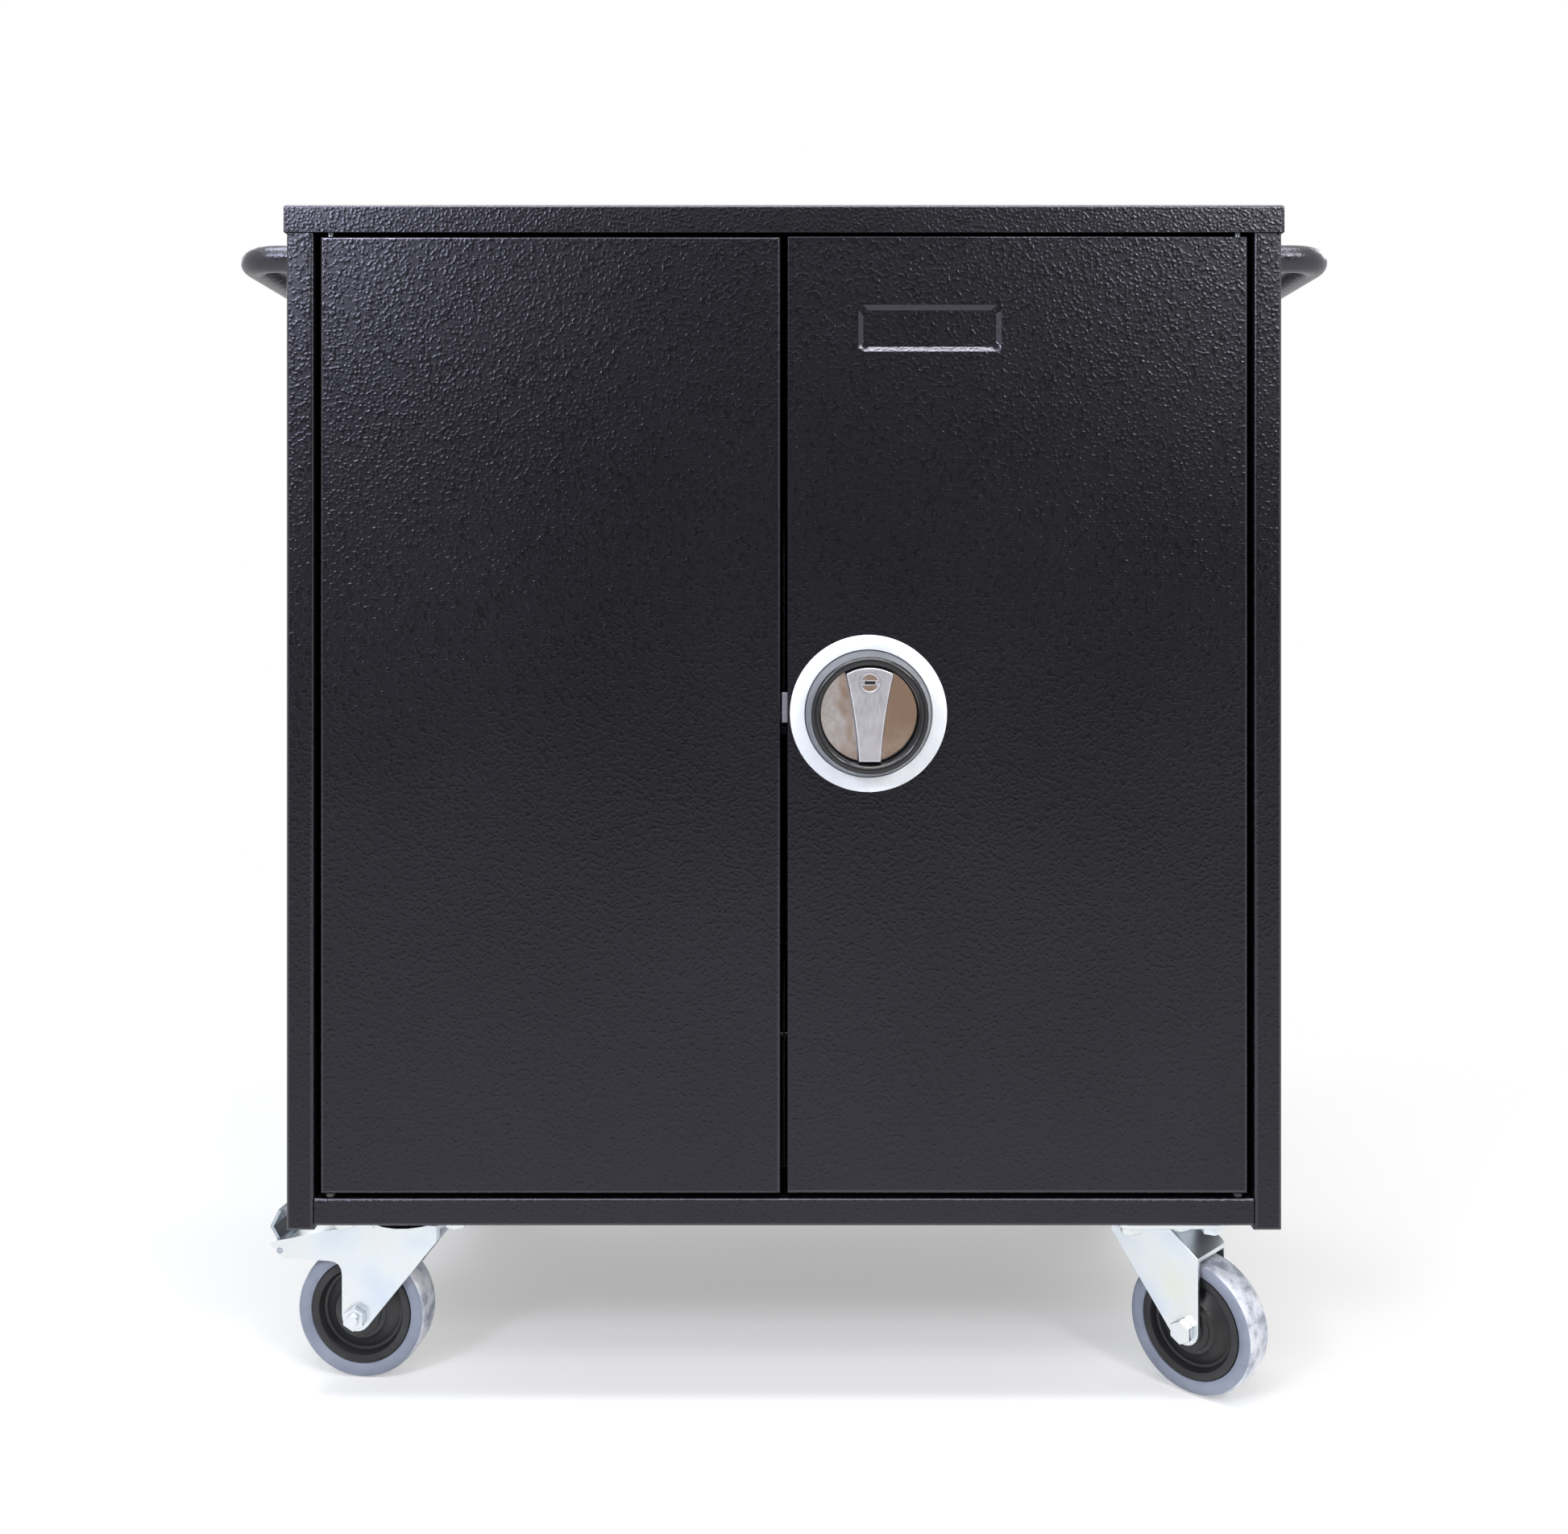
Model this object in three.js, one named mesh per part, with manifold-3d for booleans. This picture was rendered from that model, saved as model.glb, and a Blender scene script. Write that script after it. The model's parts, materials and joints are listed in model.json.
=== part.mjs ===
// Laptop charging cart: a two-door sheet-steel cabinet on four swivel casters.
// Millimetres, +Z up, the floor at Z = 0, the doors on the -Y side.
import * as THREE from "three";
import { mergeVertices } from "three/addons/utils/BufferGeometryUtils.js";
import Module from "manifold-3d";

const wasm = await Module();
wasm.setup();

// Steel body
const BODY_WIDTH = 897;
const BODY_DEPTH = 550;
const BODY_HEIGHT = 920;
const SHEET = 1.5;
const BASE_SHEET = 2;
const FIT = 0.3;
const STILE_WIDTH = 25;
const STILE_LIP = 16;
const REAR_FLANGE = 20;
const POST_DROP = 4;
const RAIL_HEIGHT = 25;
const LID_HEIGHT = 25;
const HEADER_DEPTH = 45;

// Doors and their pivots
const DOOR_SIDE_GAP = 5.5;
const DOOR_MIDDLE_GAP = 6;
const DOOR_TOP_GAP = 3;
const DOOR_BOTTOM_GAP = 4;
const DOOR_DEPTH = 18;
const DOOR_LIP = 15;
const PIVOT_INSET = 8;
const PIVOT_DEPTH = 7;
const PIN_DIAMETER = 6;
const PIN_HEAD = 10;
const PIN_HEAD_HEIGHT = 3;
const PIN_GRIP = 9;

// Pressed recess in the right door, measured from the door's free edge and top edge
const RECESS_WIDTH = 129;
const RECESS_HEIGHT = 42;
const RECESS_DEPTH = 3;
const RECESS_BEVEL = 4.5;
const RECESS_FROM_EDGE = 64;
const RECESS_FROM_TOP = 62;

// Lock, measured from the right door's free edge and from the base
const LOCK_FROM_EDGE = 73;
const LOCK_HEIGHT = 462;
const ROSETTE_DIAMETER = 142;
const ROSETTE_HEIGHT = 2;
const COLLAR_BASE = 115;
const COLLAR_RIM = 104;
const COLLAR_HEIGHT = 30;
const COLLAR_FLOOR = 3;
const CUP_DIAMETER = 89;
const RIM_ROUND = 3.6;
const RIM_STEPS = 4;
const LOCK_FACETS = 36;
const DISC_GAP = 0.8;
const DISC_HEIGHT = 3;
const LEVER_HEIGHT = 20;
const LEVER_GAP = 1.6;
const LEVER_HEAD = 43;
const LEVER_WAIST = 25.2;
const LEVER_FOOT = 20;
const KEY_DIAMETER = 19;
const KEY_OFFSET = 29;
const KEY_DEPTH = 14;
const KEY_PROUD = 1;
const KEY_SLOT_LENGTH = 9;
const KEY_SLOT_WIDTH = 2.4;
const KEY_SLOT_DEPTH = 4;
const SPINDLE_DIAMETER = 14;
const LOCK_HOLE = 60;
const SLIDE_FIT = 0.5;
const TONGUE_BEHIND = 3;
const TONGUE_THICK = 4;
const TONGUE_HEIGHT = 27;
const TONGUE_RAISE = 5;
const TONGUE_CLEAR = 1;
const TONGUE_TAIL = 18;
const ROD_BEHIND = 1.6;
const ROD_THICK = 4;
const ROD_WIDTH = 14;
const ROD_TIP_SINK = 1;
const ROD_CAP = 9;
const CAM_BEHIND = 1.6;
const CAM_THICK = 4;
const CAM_LENGTH = 50;
const CAM_WIDTH = 20;
const CASE_WIDTH = 72;
const CASE_HEIGHT = 96;
const CASE_WALL = 2;
const CASE_CLEAR = 2;
const GUIDE_LENGTH = 24;
const GUIDE_WALL = 2.5;
const GUIDE_FROM_END = 190;

// Interior
const SHELF_FLANGE = 22;
const SHELF_SETBACK = 62;
const BAYS = 12;
const DIVIDER_SHEET = 2;
const DIVIDER_HEIGHT = 190;
const DIVIDER_NOSE = 90;
const RACK_SETBACK = 78;
const RACK_REAR_ROOM = 100;
const RACK_SIDE_GAP = 6;
const TRUNK_WIDTH = 44;
const TRUNK_DEPTH = 42;
const TRUNK_WALL = 2;
const TRUNK_SIDE_GAP = 10;
const STRIP_SIDE_GAP = 78;
const STRIP_HEIGHT = 46;
const STRIP_DEPTH = 40;
const STRIP_ABOVE_FLOOR = 290;
const SOCKET_WIDTH = 28;
const SOCKET_HEIGHT = 20;
const SOCKET_CHAMFER = 5;
const SOCKET_DEPTH = 14;
const TIMER_WIDTH = 300;
const TIMER_HEIGHT = 62;
const TIMER_DEPTH = 58;
const TIMER_BELOW_LID = 30;
const TIMER_FIN_PITCH = 15;
const TIMER_FIN_DEPTH = 4;
const INLET_WIDTH = 28;
const INLET_HEIGHT = 20;
const INLET_FLANGE = 10;
const INLET_FLANGE_THICK = 3;
const INLET_BODY = 24;
const INLET_WALL = 2;
const INLET_ABOVE_FLOOR = 70;
const LOUVRE_COLUMNS = 3;
const LOUVRE_ROWS = 6;
const LOUVRE_WIDTH = 150;
const LOUVRE_HEIGHT = 10;
const LOUVRE_PROUD = 5;
const LOUVRE_PITCH = 22;
const LOUVRE_SPREAD = 220;
const LOUVRE_FROM_TOP = 90;
const LOUVRE_FROM_BOTTOM = 110;

// Push handles
const HANDLE_TUBE = 25;
const HANDLE_REACH = 62;
const HANDLE_SETBACK = 40;
const HANDLE_BEND = 30;
const HANDLE_BELOW_LID = 3;
const HANDLE_SIDES = 12;
const BEND_STEPS = 5;

// Casters
const CASTER_FROM_STILE = 7;
const CASTER_FROM_FRONT = 4;
const WHEEL_DIAMETER = 125;
const WHEEL_FACETS = 24;
const TYRE_WIDTH = 36;
const TYRE_DEPTH = 14;
const TYRE_SHOULDER = 5;
const HUB_WIDTH = 33;
const HUB_RIM = 7;
const HUB_DISH = 8;
const HUB_BOSS = 42;
const AXLE_DIAMETER = 12;
const AXLE_HEX = 19;
const AXLE_HEAD = 8;
const AXLE_END = 4;
const FORK_SHEET = 4;
const FORK_GAP = 4.5;
const BOSS_GAP = 1;
const TRAIL = 42;
const LEG_END = 14;
const CROWN_CLEARANCE = 21.5;
const CROWN_NOSE = 44;
const CROWN_DISH = 76;
const CROWN_SLOPE_START = 28;
const CROWN_LIP_DROP = 20;
const BEARING_HEIGHT = 9.4;
const BEARING_DIAMETER = 72;
const BEARING_CHAMFER = 2.5;
const KING_PIN = 16;
const KING_PIN_HEAD = 26;
const KING_PIN_HEAD_HEIGHT = 7;
const PLATE_LENGTH = 128;
const PLATE_WIDTH = 100;
const PLATE_THICK = 4;
const PLATE_CORNER = 9;
const CORNER_STEPS = 3;
const BOLT_SPACING_LONG = 102;
const BOLT_SPACING_SHORT = 74;
const BOLT_HOLE = 11;
const EAR_REACH = 128;
const EAR_TIP_DROP = 24;
const EAR_DEPTH = 38;
const EAR_NOSE = 12;
const EAR_FILLET = 13;
const PEDAL_HINGE_INSET = 11;
const PEDAL_HINGE_RAISE = 7;
const PEDAL_PIN = 5;
const PEDAL_BARREL = 9;
const PEDAL_SHEET = 3;
const PEDAL_GAP = 1;
const PEDAL_LEAN = 12;
const PEDAL_RISE = 20;
const PEDAL_TIP_LEAN = 4;
const PEDAL_TIP_RISE = 36;
const PEDAL_ROOM = 22;
const FRONT_LEFT_YAW = -8;
const FRONT_RIGHT_YAW = 137;
const REAR_RIGHT_YAW = 172;
const REAR_LEFT_YAW = 312;

// Fineness of round forms
const SMALL_FACETS = 12;
const BEARING_FACETS = 18;
const PEG_FACETS = 20;
const LOCK_BORE_FACETS = 24;
const COARSE_ARC = 4;
const PLAIN_ARC = 6;
const FINE_ARC = 8;

// Heights and planes that follow from the sizes above
const WHEEL_RADIUS = WHEEL_DIAMETER / 2;
const AXLE_Z = WHEEL_RADIUS * Math.cos(Math.PI / WHEEL_FACETS);
const CROWN_Z = AXLE_Z + WHEEL_RADIUS + CROWN_CLEARANCE + FORK_SHEET;
const PLATE_Z = CROWN_Z + BEARING_HEIGHT + 2 * FIT;
const BASE_Z = PLATE_Z + PLATE_THICK + FIT;
const FLOOR_Z = BASE_Z + RAIL_HEIGHT;
const TOP_Z = BASE_Z + BODY_HEIGHT;
const LID_Z = TOP_Z - LID_HEIGHT;
const CEILING_Z = TOP_Z - SHEET - FIT;
const SHELF_Z = (FLOOR_Z + LID_Z) / 2;
const HALF_WIDTH = BODY_WIDTH / 2;
const FRONT = -BODY_DEPTH / 2;
const BACK = BODY_DEPTH / 2;
const INNER_HALF = HALF_WIDTH - SHEET - FIT;
const RAIL_HALF = HALF_WIDTH - STILE_WIDTH - FIT;
const BACK_PANEL_OUTSIDE = BACK - SHEET - FIT;
const BACK_PANEL_INSIDE = BACK_PANEL_OUTSIDE - SHEET;
const DOOR_OUTER = HALF_WIDTH - STILE_WIDTH - DOOR_SIDE_GAP;
const DOOR_INNER = DOOR_MIDDLE_GAP / 2;
const DOOR_BOTTOM = FLOOR_Z + DOOR_BOTTOM_GAP;
const DOOR_TOP = LID_Z - DOOR_TOP_GAP;
const PIVOT_X = DOOR_OUTER - PIVOT_INSET;
const PIVOT_Y = FRONT + PIVOT_DEPTH;
const LOCK_X = DOOR_INNER + LOCK_FROM_EDGE;
const LOCK_Z = BASE_Z + LOCK_HEIGHT;
const CASTER_X = HALF_WIDTH - STILE_WIDTH - CASTER_FROM_STILE - PLATE_LENGTH / 2;
const CASTER_Y = BACK - CASTER_FROM_FRONT - PLATE_LENGTH / 2;
const CASTER_RETURN = CASTER_FROM_FRONT + PLATE_LENGTH + PLATE_CORNER;

// Layers of the lock behind the face of the right door, front to back
const TONGUE_Y = FRONT + SHEET + TONGUE_BEHIND;
const ROD_Y = TONGUE_Y + TONGUE_THICK + ROD_BEHIND;
const CAM_Y = ROD_Y + ROD_THICK + CAM_BEHIND;
const CAM_END = CAM_Y + CAM_THICK;
const TONGUE_Z = LOCK_Z + TONGUE_RAISE;

// Finishes read from the photograph
const POWDER_COAT = { color: 0x302f35, roughness: 0.45, metalness: 0.1 };
const ZINC = { color: 0xdde4ea, roughness: 0.32, metalness: 0.75 };
const DARK_STEEL = { color: 0x4a4a4c, roughness: 0.4, metalness: 0.8 };
const RUBBER = { color: 0x9aa2b6, roughness: 0.7, metalness: 0 };
const BLACK_PLASTIC = { color: 0x222225, roughness: 0.5, metalness: 0 };
const GREY_PLASTIC = { color: 0x5c5e63, roughness: 0.6, metalness: 0 };
const PALE_RING = { color: 0xf2f5f8, roughness: 0.35, metalness: 0.2 };
const CHROME = { color: 0xcdcbca, roughness: 0.08, metalness: 1 };
const SATIN = { color: 0xb9b7bf, roughness: 0.3, metalness: 0.9 };

// A closed three.js geometry as a solid that can be cut and joined
function solid(geometry) {
  geometry.deleteAttribute("normal");
  geometry.deleteAttribute("uv");
  const merged = mergeVertices(geometry, 1e-4);
  const corners = merged.index.array;
  const kept = [];
  for (let i = 0; i < corners.length; i += 3) {
    const [a, b, c] = corners.slice(i, i + 3);
    if (a !== b && b !== c && c !== a) kept.push(a, b, c);
  }
  return new wasm.Manifold(new wasm.Mesh({
    numProp: 3,
    vertProperties: merged.attributes.position.array,
    triVerts: Uint32Array.from(kept),
  }));
}

// The surface of a solid as a three.js geometry
function surface(body) {
  const mesh = body.getMesh();
  const geometry = new THREE.BufferGeometry();
  geometry.setAttribute("position", new THREE.BufferAttribute(mesh.vertProperties, 3));
  geometry.setIndex(new THREE.BufferAttribute(mesh.triVerts, 1));
  geometry.computeVertexNormals();
  return geometry;
}

const join = (first, ...others) => others.reduce((whole, next) => whole.add(next), first);
const cut = (first, ...tools) => tools.reduce((whole, tool) => whole.subtract(tool), first);

function block(x0, x1, y0, y1, z0, z1) {
  const box = new THREE.BoxGeometry(x1 - x0, y1 - y0, z1 - z0);
  return solid(box.translate((x0 + x1) / 2, (y0 + y1) / 2, (z0 + z1) / 2));
}

const outline = (points) => new THREE.Shape(points.map(([a, b]) => new THREE.Vector2(a, b)));

function extrusion(shape, length, arcSteps) {
  return new THREE.ExtrudeGeometry(shape, { depth: length, bevelEnabled: false, curveSegments: arcSteps });
}

// A (Y, Z) outline carried along X
function alongX(shape, x0, x1, arcSteps = PLAIN_ARC) {
  const turn = new THREE.Matrix4().set(0, 0, 1, x0, 1, 0, 0, 0, 0, 1, 0, 0, 0, 0, 0, 1);
  return solid(extrusion(shape, x1 - x0, arcSteps).applyMatrix4(turn));
}

// An (X, Z) outline carried along Y
function alongY(shape, y0, y1, arcSteps = PLAIN_ARC) {
  return solid(extrusion(shape, y1 - y0, arcSteps).rotateX(Math.PI / 2).translate(0, y1, 0));
}

// An (X, Y) outline carried along Z
function alongZ(shape, z0, z1, arcSteps = PLAIN_ARC) {
  return solid(extrusion(shape, z1 - z0, arcSteps).translate(0, 0, z0));
}

function pegY(diameter, x, z, y0, y1, facets = PEG_FACETS) {
  const peg = new THREE.CylinderGeometry(diameter / 2, diameter / 2, y1 - y0, facets);
  return solid(peg.translate(x, (y0 + y1) / 2, z));
}

function pegZ(diameter, x, y, z0, z1, facets = PEG_FACETS) {
  const peg = new THREE.CylinderGeometry(diameter / 2, diameter / 2, z1 - z0, facets);
  return solid(peg.rotateX(Math.PI / 2).translate(x, y, (z0 + z1) / 2));
}

// A profile of [radius, Y] points turned about the Y axis, with a flat facet at the bottom
function turned(profile, facets) {
  const points = profile.map(([radius, y]) => new THREE.Vector2(radius, y));
  return new THREE.LatheGeometry(points, facets, Math.PI / facets);
}

// A profile of [radius, Z] points turned about an upright axis
const turnedUpright = (profile, facets) => turned(profile, facets).rotateX(Math.PI / 2);

// The section of a folded sheet: one face's corners, and its thickness to the left of the way they run
function folded(corners, thickness) {
  const faces = corners.map(([a, b]) => new THREE.Vector2(a, b));
  const leftOf = (from, to) => {
    const way = to.clone().sub(from).normalize();
    return new THREE.Vector2(-way.y, way.x);
  };
  const offset = faces.map((corner, i) => {
    const before = i > 0 ? leftOf(faces[i - 1], corner) : leftOf(corner, faces[i + 1]);
    const after = i < faces.length - 1 ? leftOf(corner, faces[i + 1]) : before;
    const mitre = before.clone().add(after).divideScalar(1 + before.dot(after));
    return corner.clone().addScaledVector(mitre, thickness);
  });
  return new THREE.Shape([...faces, ...offset.reverse()]);
}

function roundedRectangle(width, height, radius) {
  const points = [];
  for (let i = 0; i < 4 * (CORNER_STEPS + 1); i += 1) {
    const corner = Math.floor(i / (CORNER_STEPS + 1));
    const angle = ((i - corner) / CORNER_STEPS) * (Math.PI / 2);
    const [right, up] = [corner === 0 || corner === 3 ? 1 : -1, corner < 2 ? 1 : -1];
    points.push([
      right * (width / 2 - radius) + radius * Math.cos(angle),
      up * (height / 2 - radius) + radius * Math.sin(angle),
    ]);
  }
  return outline(points);
}

// A rectangle in the (X, Z) plane that narrows by bevel on every side from y0 to y1
function tray(x, z, width, height, bevel, y0, y1) {
  const wide = new THREE.CylinderGeometry(Math.SQRT1_2, Math.SQRT1_2, 1, 4, 1, false, Math.PI / 4);
  const place = wide.attributes.position;
  for (let i = 0; i < place.count; i += 1) {
    const deep = place.getY(i) > 0 ? 1 : 0;
    const corner = place.getY(i) === 0 ? 0 : 1;
    place.setXYZ(
      i,
      x + corner * place.getX(i) * (width - 2 * bevel * deep),
      deep ? y1 : y0,
      z + corner * place.getZ(i) * (height - 2 * bevel * deep),
    );
  }
  return solid(wide);
}

// A round tube along a list of points in one level plane, mitred at each point and closed at both ends
function bentTube(points, diameter, sides) {
  const ways = points.slice(1).map((point, i) => point.clone().sub(points[i]).normalize());
  const places = [];
  points.forEach((point, i) => {
    const before = ways[Math.max(i - 1, 0)];
    const after = ways[Math.min(i, ways.length - 1)];
    const mean = before.clone().add(after).normalize();
    const across = new THREE.Vector3(0, 0, 1).cross(mean);
    const stretch = diameter / 2 / mean.dot(after);
    for (let k = 0; k < sides; k += 1) {
      const angle = (2 * Math.PI * k) / sides;
      const ring = point.clone().addScaledVector(across, stretch * Math.cos(angle));
      places.push(ring.x, ring.y, ring.z + (diameter / 2) * Math.sin(angle));
    }
  });
  const corners = [];
  for (let i = 0; i < points.length - 1; i += 1) {
    for (let k = 0; k < sides; k += 1) {
      const [a, b] = [i * sides + k, i * sides + ((k + 1) % sides)];
      corners.push(a, b, a + sides, b, b + sides, a + sides);
    }
  }
  const last = (points.length - 1) * sides;
  for (let k = 1; k < sides - 1; k += 1) {
    corners.push(0, k + 1, k, last, last + k, last + k + 1);
  }
  const geometry = new THREE.BufferGeometry();
  geometry.setAttribute("position", new THREE.Float32BufferAttribute(places, 3));
  geometry.setIndex(corners);
  return geometry;
}

const cart = new THREE.Group();

// Puts one piece, a solid or a ready geometry, into the cart as a named mesh
function add(name, piece, finish, parent = cart) {
  const geometry = piece.isBufferGeometry ? piece : surface(piece);
  const mesh = new THREE.Mesh(geometry, new THREE.MeshStandardMaterial(finish));
  mesh.name = name;
  parent.add(mesh);
}

// Lid: a pan pressed over the top of the body
function lid() {
  const reach = FIT + SHEET;
  const outside = block(
    -HALF_WIDTH - reach, HALF_WIDTH + reach, FRONT - reach, BACK + reach, LID_Z, TOP_Z);
  const inside = block(
    -HALF_WIDTH - FIT, HALF_WIDTH + FIT, FRONT - FIT, BACK + FIT, LID_Z - SHEET, TOP_Z - SHEET);
  return cut(outside, inside);
}

// Side panel: one sheet folded into stile, wall and rear flange, with a foot flange turned in
function sidePanel(side) {
  const section = folded([
    [side * (HALF_WIDTH - STILE_WIDTH), FRONT + STILE_LIP],
    [side * (HALF_WIDTH - STILE_WIDTH), FRONT],
    [side * HALF_WIDTH, FRONT],
    [side * HALF_WIDTH, BACK],
    [side * (HALF_WIDTH - REAR_FLANGE), BACK],
  ], side * SHEET);
  const inset = SHEET / 2;
  const foot = [HALF_WIDTH - STILE_WIDTH + inset, HALF_WIDTH - inset].map((x) => side * x);
  return join(
    alongZ(section, BASE_Z - POST_DROP, CEILING_Z),
    block(
      Math.min(...foot), Math.max(...foot), FRONT + inset, BACK - inset,
      BASE_Z - POST_DROP, BASE_Z - POST_DROP + SHEET));
}

// Slots that let the lock rod through a level sheet
const rodSlot = (z0, z1) => block(
  LOCK_X - ROD_WIDTH / 2 - SLIDE_FIT, LOCK_X + ROD_WIDTH / 2 + SLIDE_FIT,
  ROD_Y - SLIDE_FIT, ROD_Y + ROD_THICK + SLIDE_FIT, z0, z1);

const pivotHoles = (z0, z1) => [-1, 1].map(
  (side) => pegZ(PIN_DIAMETER + 2 * FIT, side * PIVOT_X, PIVOT_Y, z0, z1, SMALL_FACETS));

// Base tray: floor and front rail, with returns turned back under it for the casters
function baseTray() {
  const section = folded([
    [FRONT + CASTER_RETURN, BASE_Z],
    [FRONT, BASE_Z],
    [FRONT, FLOOR_Z],
    [BACK, FLOOR_Z],
    [BACK, BASE_Z],
    [BACK - CASTER_RETURN, BASE_Z],
  ], -BASE_SHEET);
  const wings = folded([
    [-INNER_HALF, BASE_Z], [-INNER_HALF, FLOOR_Z], [INNER_HALF, FLOOR_Z], [INNER_HALF, BASE_Z],
  ], -BASE_SHEET);
  const [below, above] = [FLOOR_Z - 2 * BASE_SHEET, FLOOR_Z + BASE_SHEET];
  return cut(
    join(
      alongX(section, -RAIL_HALF, RAIL_HALF),
      alongY(wings, FRONT + STILE_LIP + FIT, BACK - SHEET - FIT)),
    rodSlot(below, above), ...pivotHoles(below, above));
}

// Header rail: an angle under the lid that takes the upper pivots and the upper lock rod
function headerRail() {
  const section = folded([
    [FRONT, LID_Z],
    [FRONT + HEADER_DEPTH, LID_Z],
    [FRONT + HEADER_DEPTH, CEILING_Z],
  ], SHEET);
  const [below, above] = [LID_Z - SHEET, LID_Z + 2 * SHEET];
  return cut(
    alongX(section, -RAIL_HALF, RAIL_HALF),
    rodSlot(below, above), ...pivotHoles(below, above));
}

function middleShelf() {
  const [front, back] = [FRONT + SHELF_SETBACK, BACK_PANEL_INSIDE - FIT];
  const section = folded([
    [front, SHELF_Z - SHELF_FLANGE], [front, SHELF_Z], [back, SHELF_Z], [back, SHELF_Z - SHELF_FLANGE],
  ], -SHEET);
  return alongX(section, -INNER_HALF, INNER_HALF);
}

// Back panel: flat sheet with rows of hooded louvres, open at the foot of each hood
function backPanel() {
  let panel = block(
    -INNER_HALF, INNER_HALF, BACK_PANEL_INSIDE, BACK_PANEL_OUTSIDE, FLOOR_Z + FIT, CEILING_Z - FIT);
  const topRow = LID_Z - LOUVRE_FROM_TOP;
  const bottomRow = FLOOR_Z + LOUVRE_FROM_BOTTOM + (LOUVRE_ROWS / 2 - 1) * LOUVRE_PITCH;
  for (let row = 0; row < LOUVRE_ROWS; row += 1) {
    const upper = row < LOUVRE_ROWS / 2;
    const step = upper ? row : row - LOUVRE_ROWS / 2;
    const z = (upper ? topRow : bottomRow) - step * LOUVRE_PITCH;
    const hood = folded([
      [BACK_PANEL_OUTSIDE, z + LOUVRE_HEIGHT],
      [BACK_PANEL_OUTSIDE + LOUVRE_PROUD, z],
    ], -SHEET);
    for (let column = 0; column < LOUVRE_COLUMNS; column += 1) {
      const x = (column - (LOUVRE_COLUMNS - 1) / 2) * LOUVRE_SPREAD;
      const [left, right] = [x - LOUVRE_WIDTH / 2, x + LOUVRE_WIDTH / 2];
      const slot = block(
        left, right, BACK_PANEL_INSIDE - SHEET, BACK_PANEL_OUTSIDE + SHEET, z, z + LOUVRE_HEIGHT / 2);
      panel = join(cut(panel, slot), alongX(hood, left - SHEET, right + SHEET));
    }
  }
  const [halfWide, halfHigh] = [INLET_WIDTH / 2 + FIT, INLET_HEIGHT / 2 + FIT];
  const window = block(
    TRUNK_X - halfWide, TRUNK_X + halfWide, BACK_PANEL_INSIDE - SHEET, BACK_PANEL_OUTSIDE + SHEET,
    INLET_Z - halfHigh, INLET_Z + halfHigh);
  return cut(panel, window);
}

// Divider rack: a floor plate with upright dividers, their front top corners swept back
function dividerRack(floor) {
  const half = INNER_HALF - RACK_SIDE_GAP;
  const [front, back] = [FRONT + RACK_SETBACK, BACK - RACK_REAR_ROOM];
  const [z0, z1] = [floor + FIT, floor + FIT + DIVIDER_HEIGHT];
  const fin = new THREE.Shape();
  fin.moveTo(front, z0);
  fin.lineTo(back, z0);
  fin.lineTo(back, z1);
  fin.lineTo(front + DIVIDER_NOSE, z1);
  fin.quadraticCurveTo(front, z1, front, z1 - DIVIDER_NOSE);
  fin.closePath();
  const pitch = (2 * half - DIVIDER_SHEET) / BAYS;
  let rack = block(-half, half, front, back, z0, z0 + DIVIDER_SHEET);
  for (let i = 0; i <= BAYS; i += 1) {
    const x = -half + i * pitch;
    rack = join(rack, alongX(fin, x, x + DIVIDER_SHEET, COARSE_ARC));
  }
  return rack;
}

// Power at the rear: an upright trunking, and to its right the strips and the timer
const POWER_BACK = BACK_PANEL_INSIDE - FIT;
const TRUNK_X = -HALF_WIDTH + REAR_FLANGE + TRUNK_SIDE_GAP + INLET_FLANGE + INLET_WIDTH / 2;
const POWER_X = TRUNK_X + TRUNK_WIDTH / 2 + FIT;
const INLET_Z = FLOOR_Z + INLET_ABOVE_FLOOR;
const STRIP_LENGTH = INNER_HALF - STRIP_SIDE_GAP - POWER_X;

// The trunking passes the shelf in a notch in its rear edge
function trunking() {
  const [left, right] = [TRUNK_X - TRUNK_WIDTH / 2, TRUNK_X + TRUNK_WIDTH / 2];
  const front = POWER_BACK - TRUNK_DEPTH;
  const section = folded([
    [left, POWER_BACK], [left, front], [right, front], [right, POWER_BACK],
  ], TRUNK_WALL);
  return alongZ(section, FLOOR_Z + FIT, CEILING_Z - 2 * FIT);
}

const trunkNotch = () => block(
  TRUNK_X - TRUNK_WIDTH / 2 - FIT, TRUNK_X + TRUNK_WIDTH / 2 + FIT,
  POWER_BACK - TRUNK_DEPTH - FIT, BACK, SHELF_Z - 2 * SHELF_FLANGE, SHELF_Z + SHEET);

function outletStrip(floor) {
  const z = floor + STRIP_ABOVE_FLOOR;
  const front = POWER_BACK - STRIP_DEPTH;
  const [halfWide, halfHigh] = [SOCKET_WIDTH / 2, SOCKET_HEIGHT / 2];
  let strip = block(
    POWER_X, POWER_X + STRIP_LENGTH, front, POWER_BACK, z - STRIP_HEIGHT / 2, z + STRIP_HEIGHT / 2);
  for (let i = 0; i < BAYS; i += 1) {
    const x = POWER_X + ((i + 0.5) * STRIP_LENGTH) / BAYS;
    const socket = outline([
      [x - halfWide, z - halfHigh],
      [x + halfWide, z - halfHigh],
      [x + halfWide, z + halfHigh - SOCKET_CHAMFER],
      [x + halfWide - SOCKET_CHAMFER, z + halfHigh],
      [x - halfWide + SOCKET_CHAMFER, z + halfHigh],
      [x - halfWide, z + halfHigh - SOCKET_CHAMFER],
    ]);
    strip = cut(strip, alongY(socket, front - SHEET, front + SOCKET_DEPTH));
  }
  return strip;
}

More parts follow.
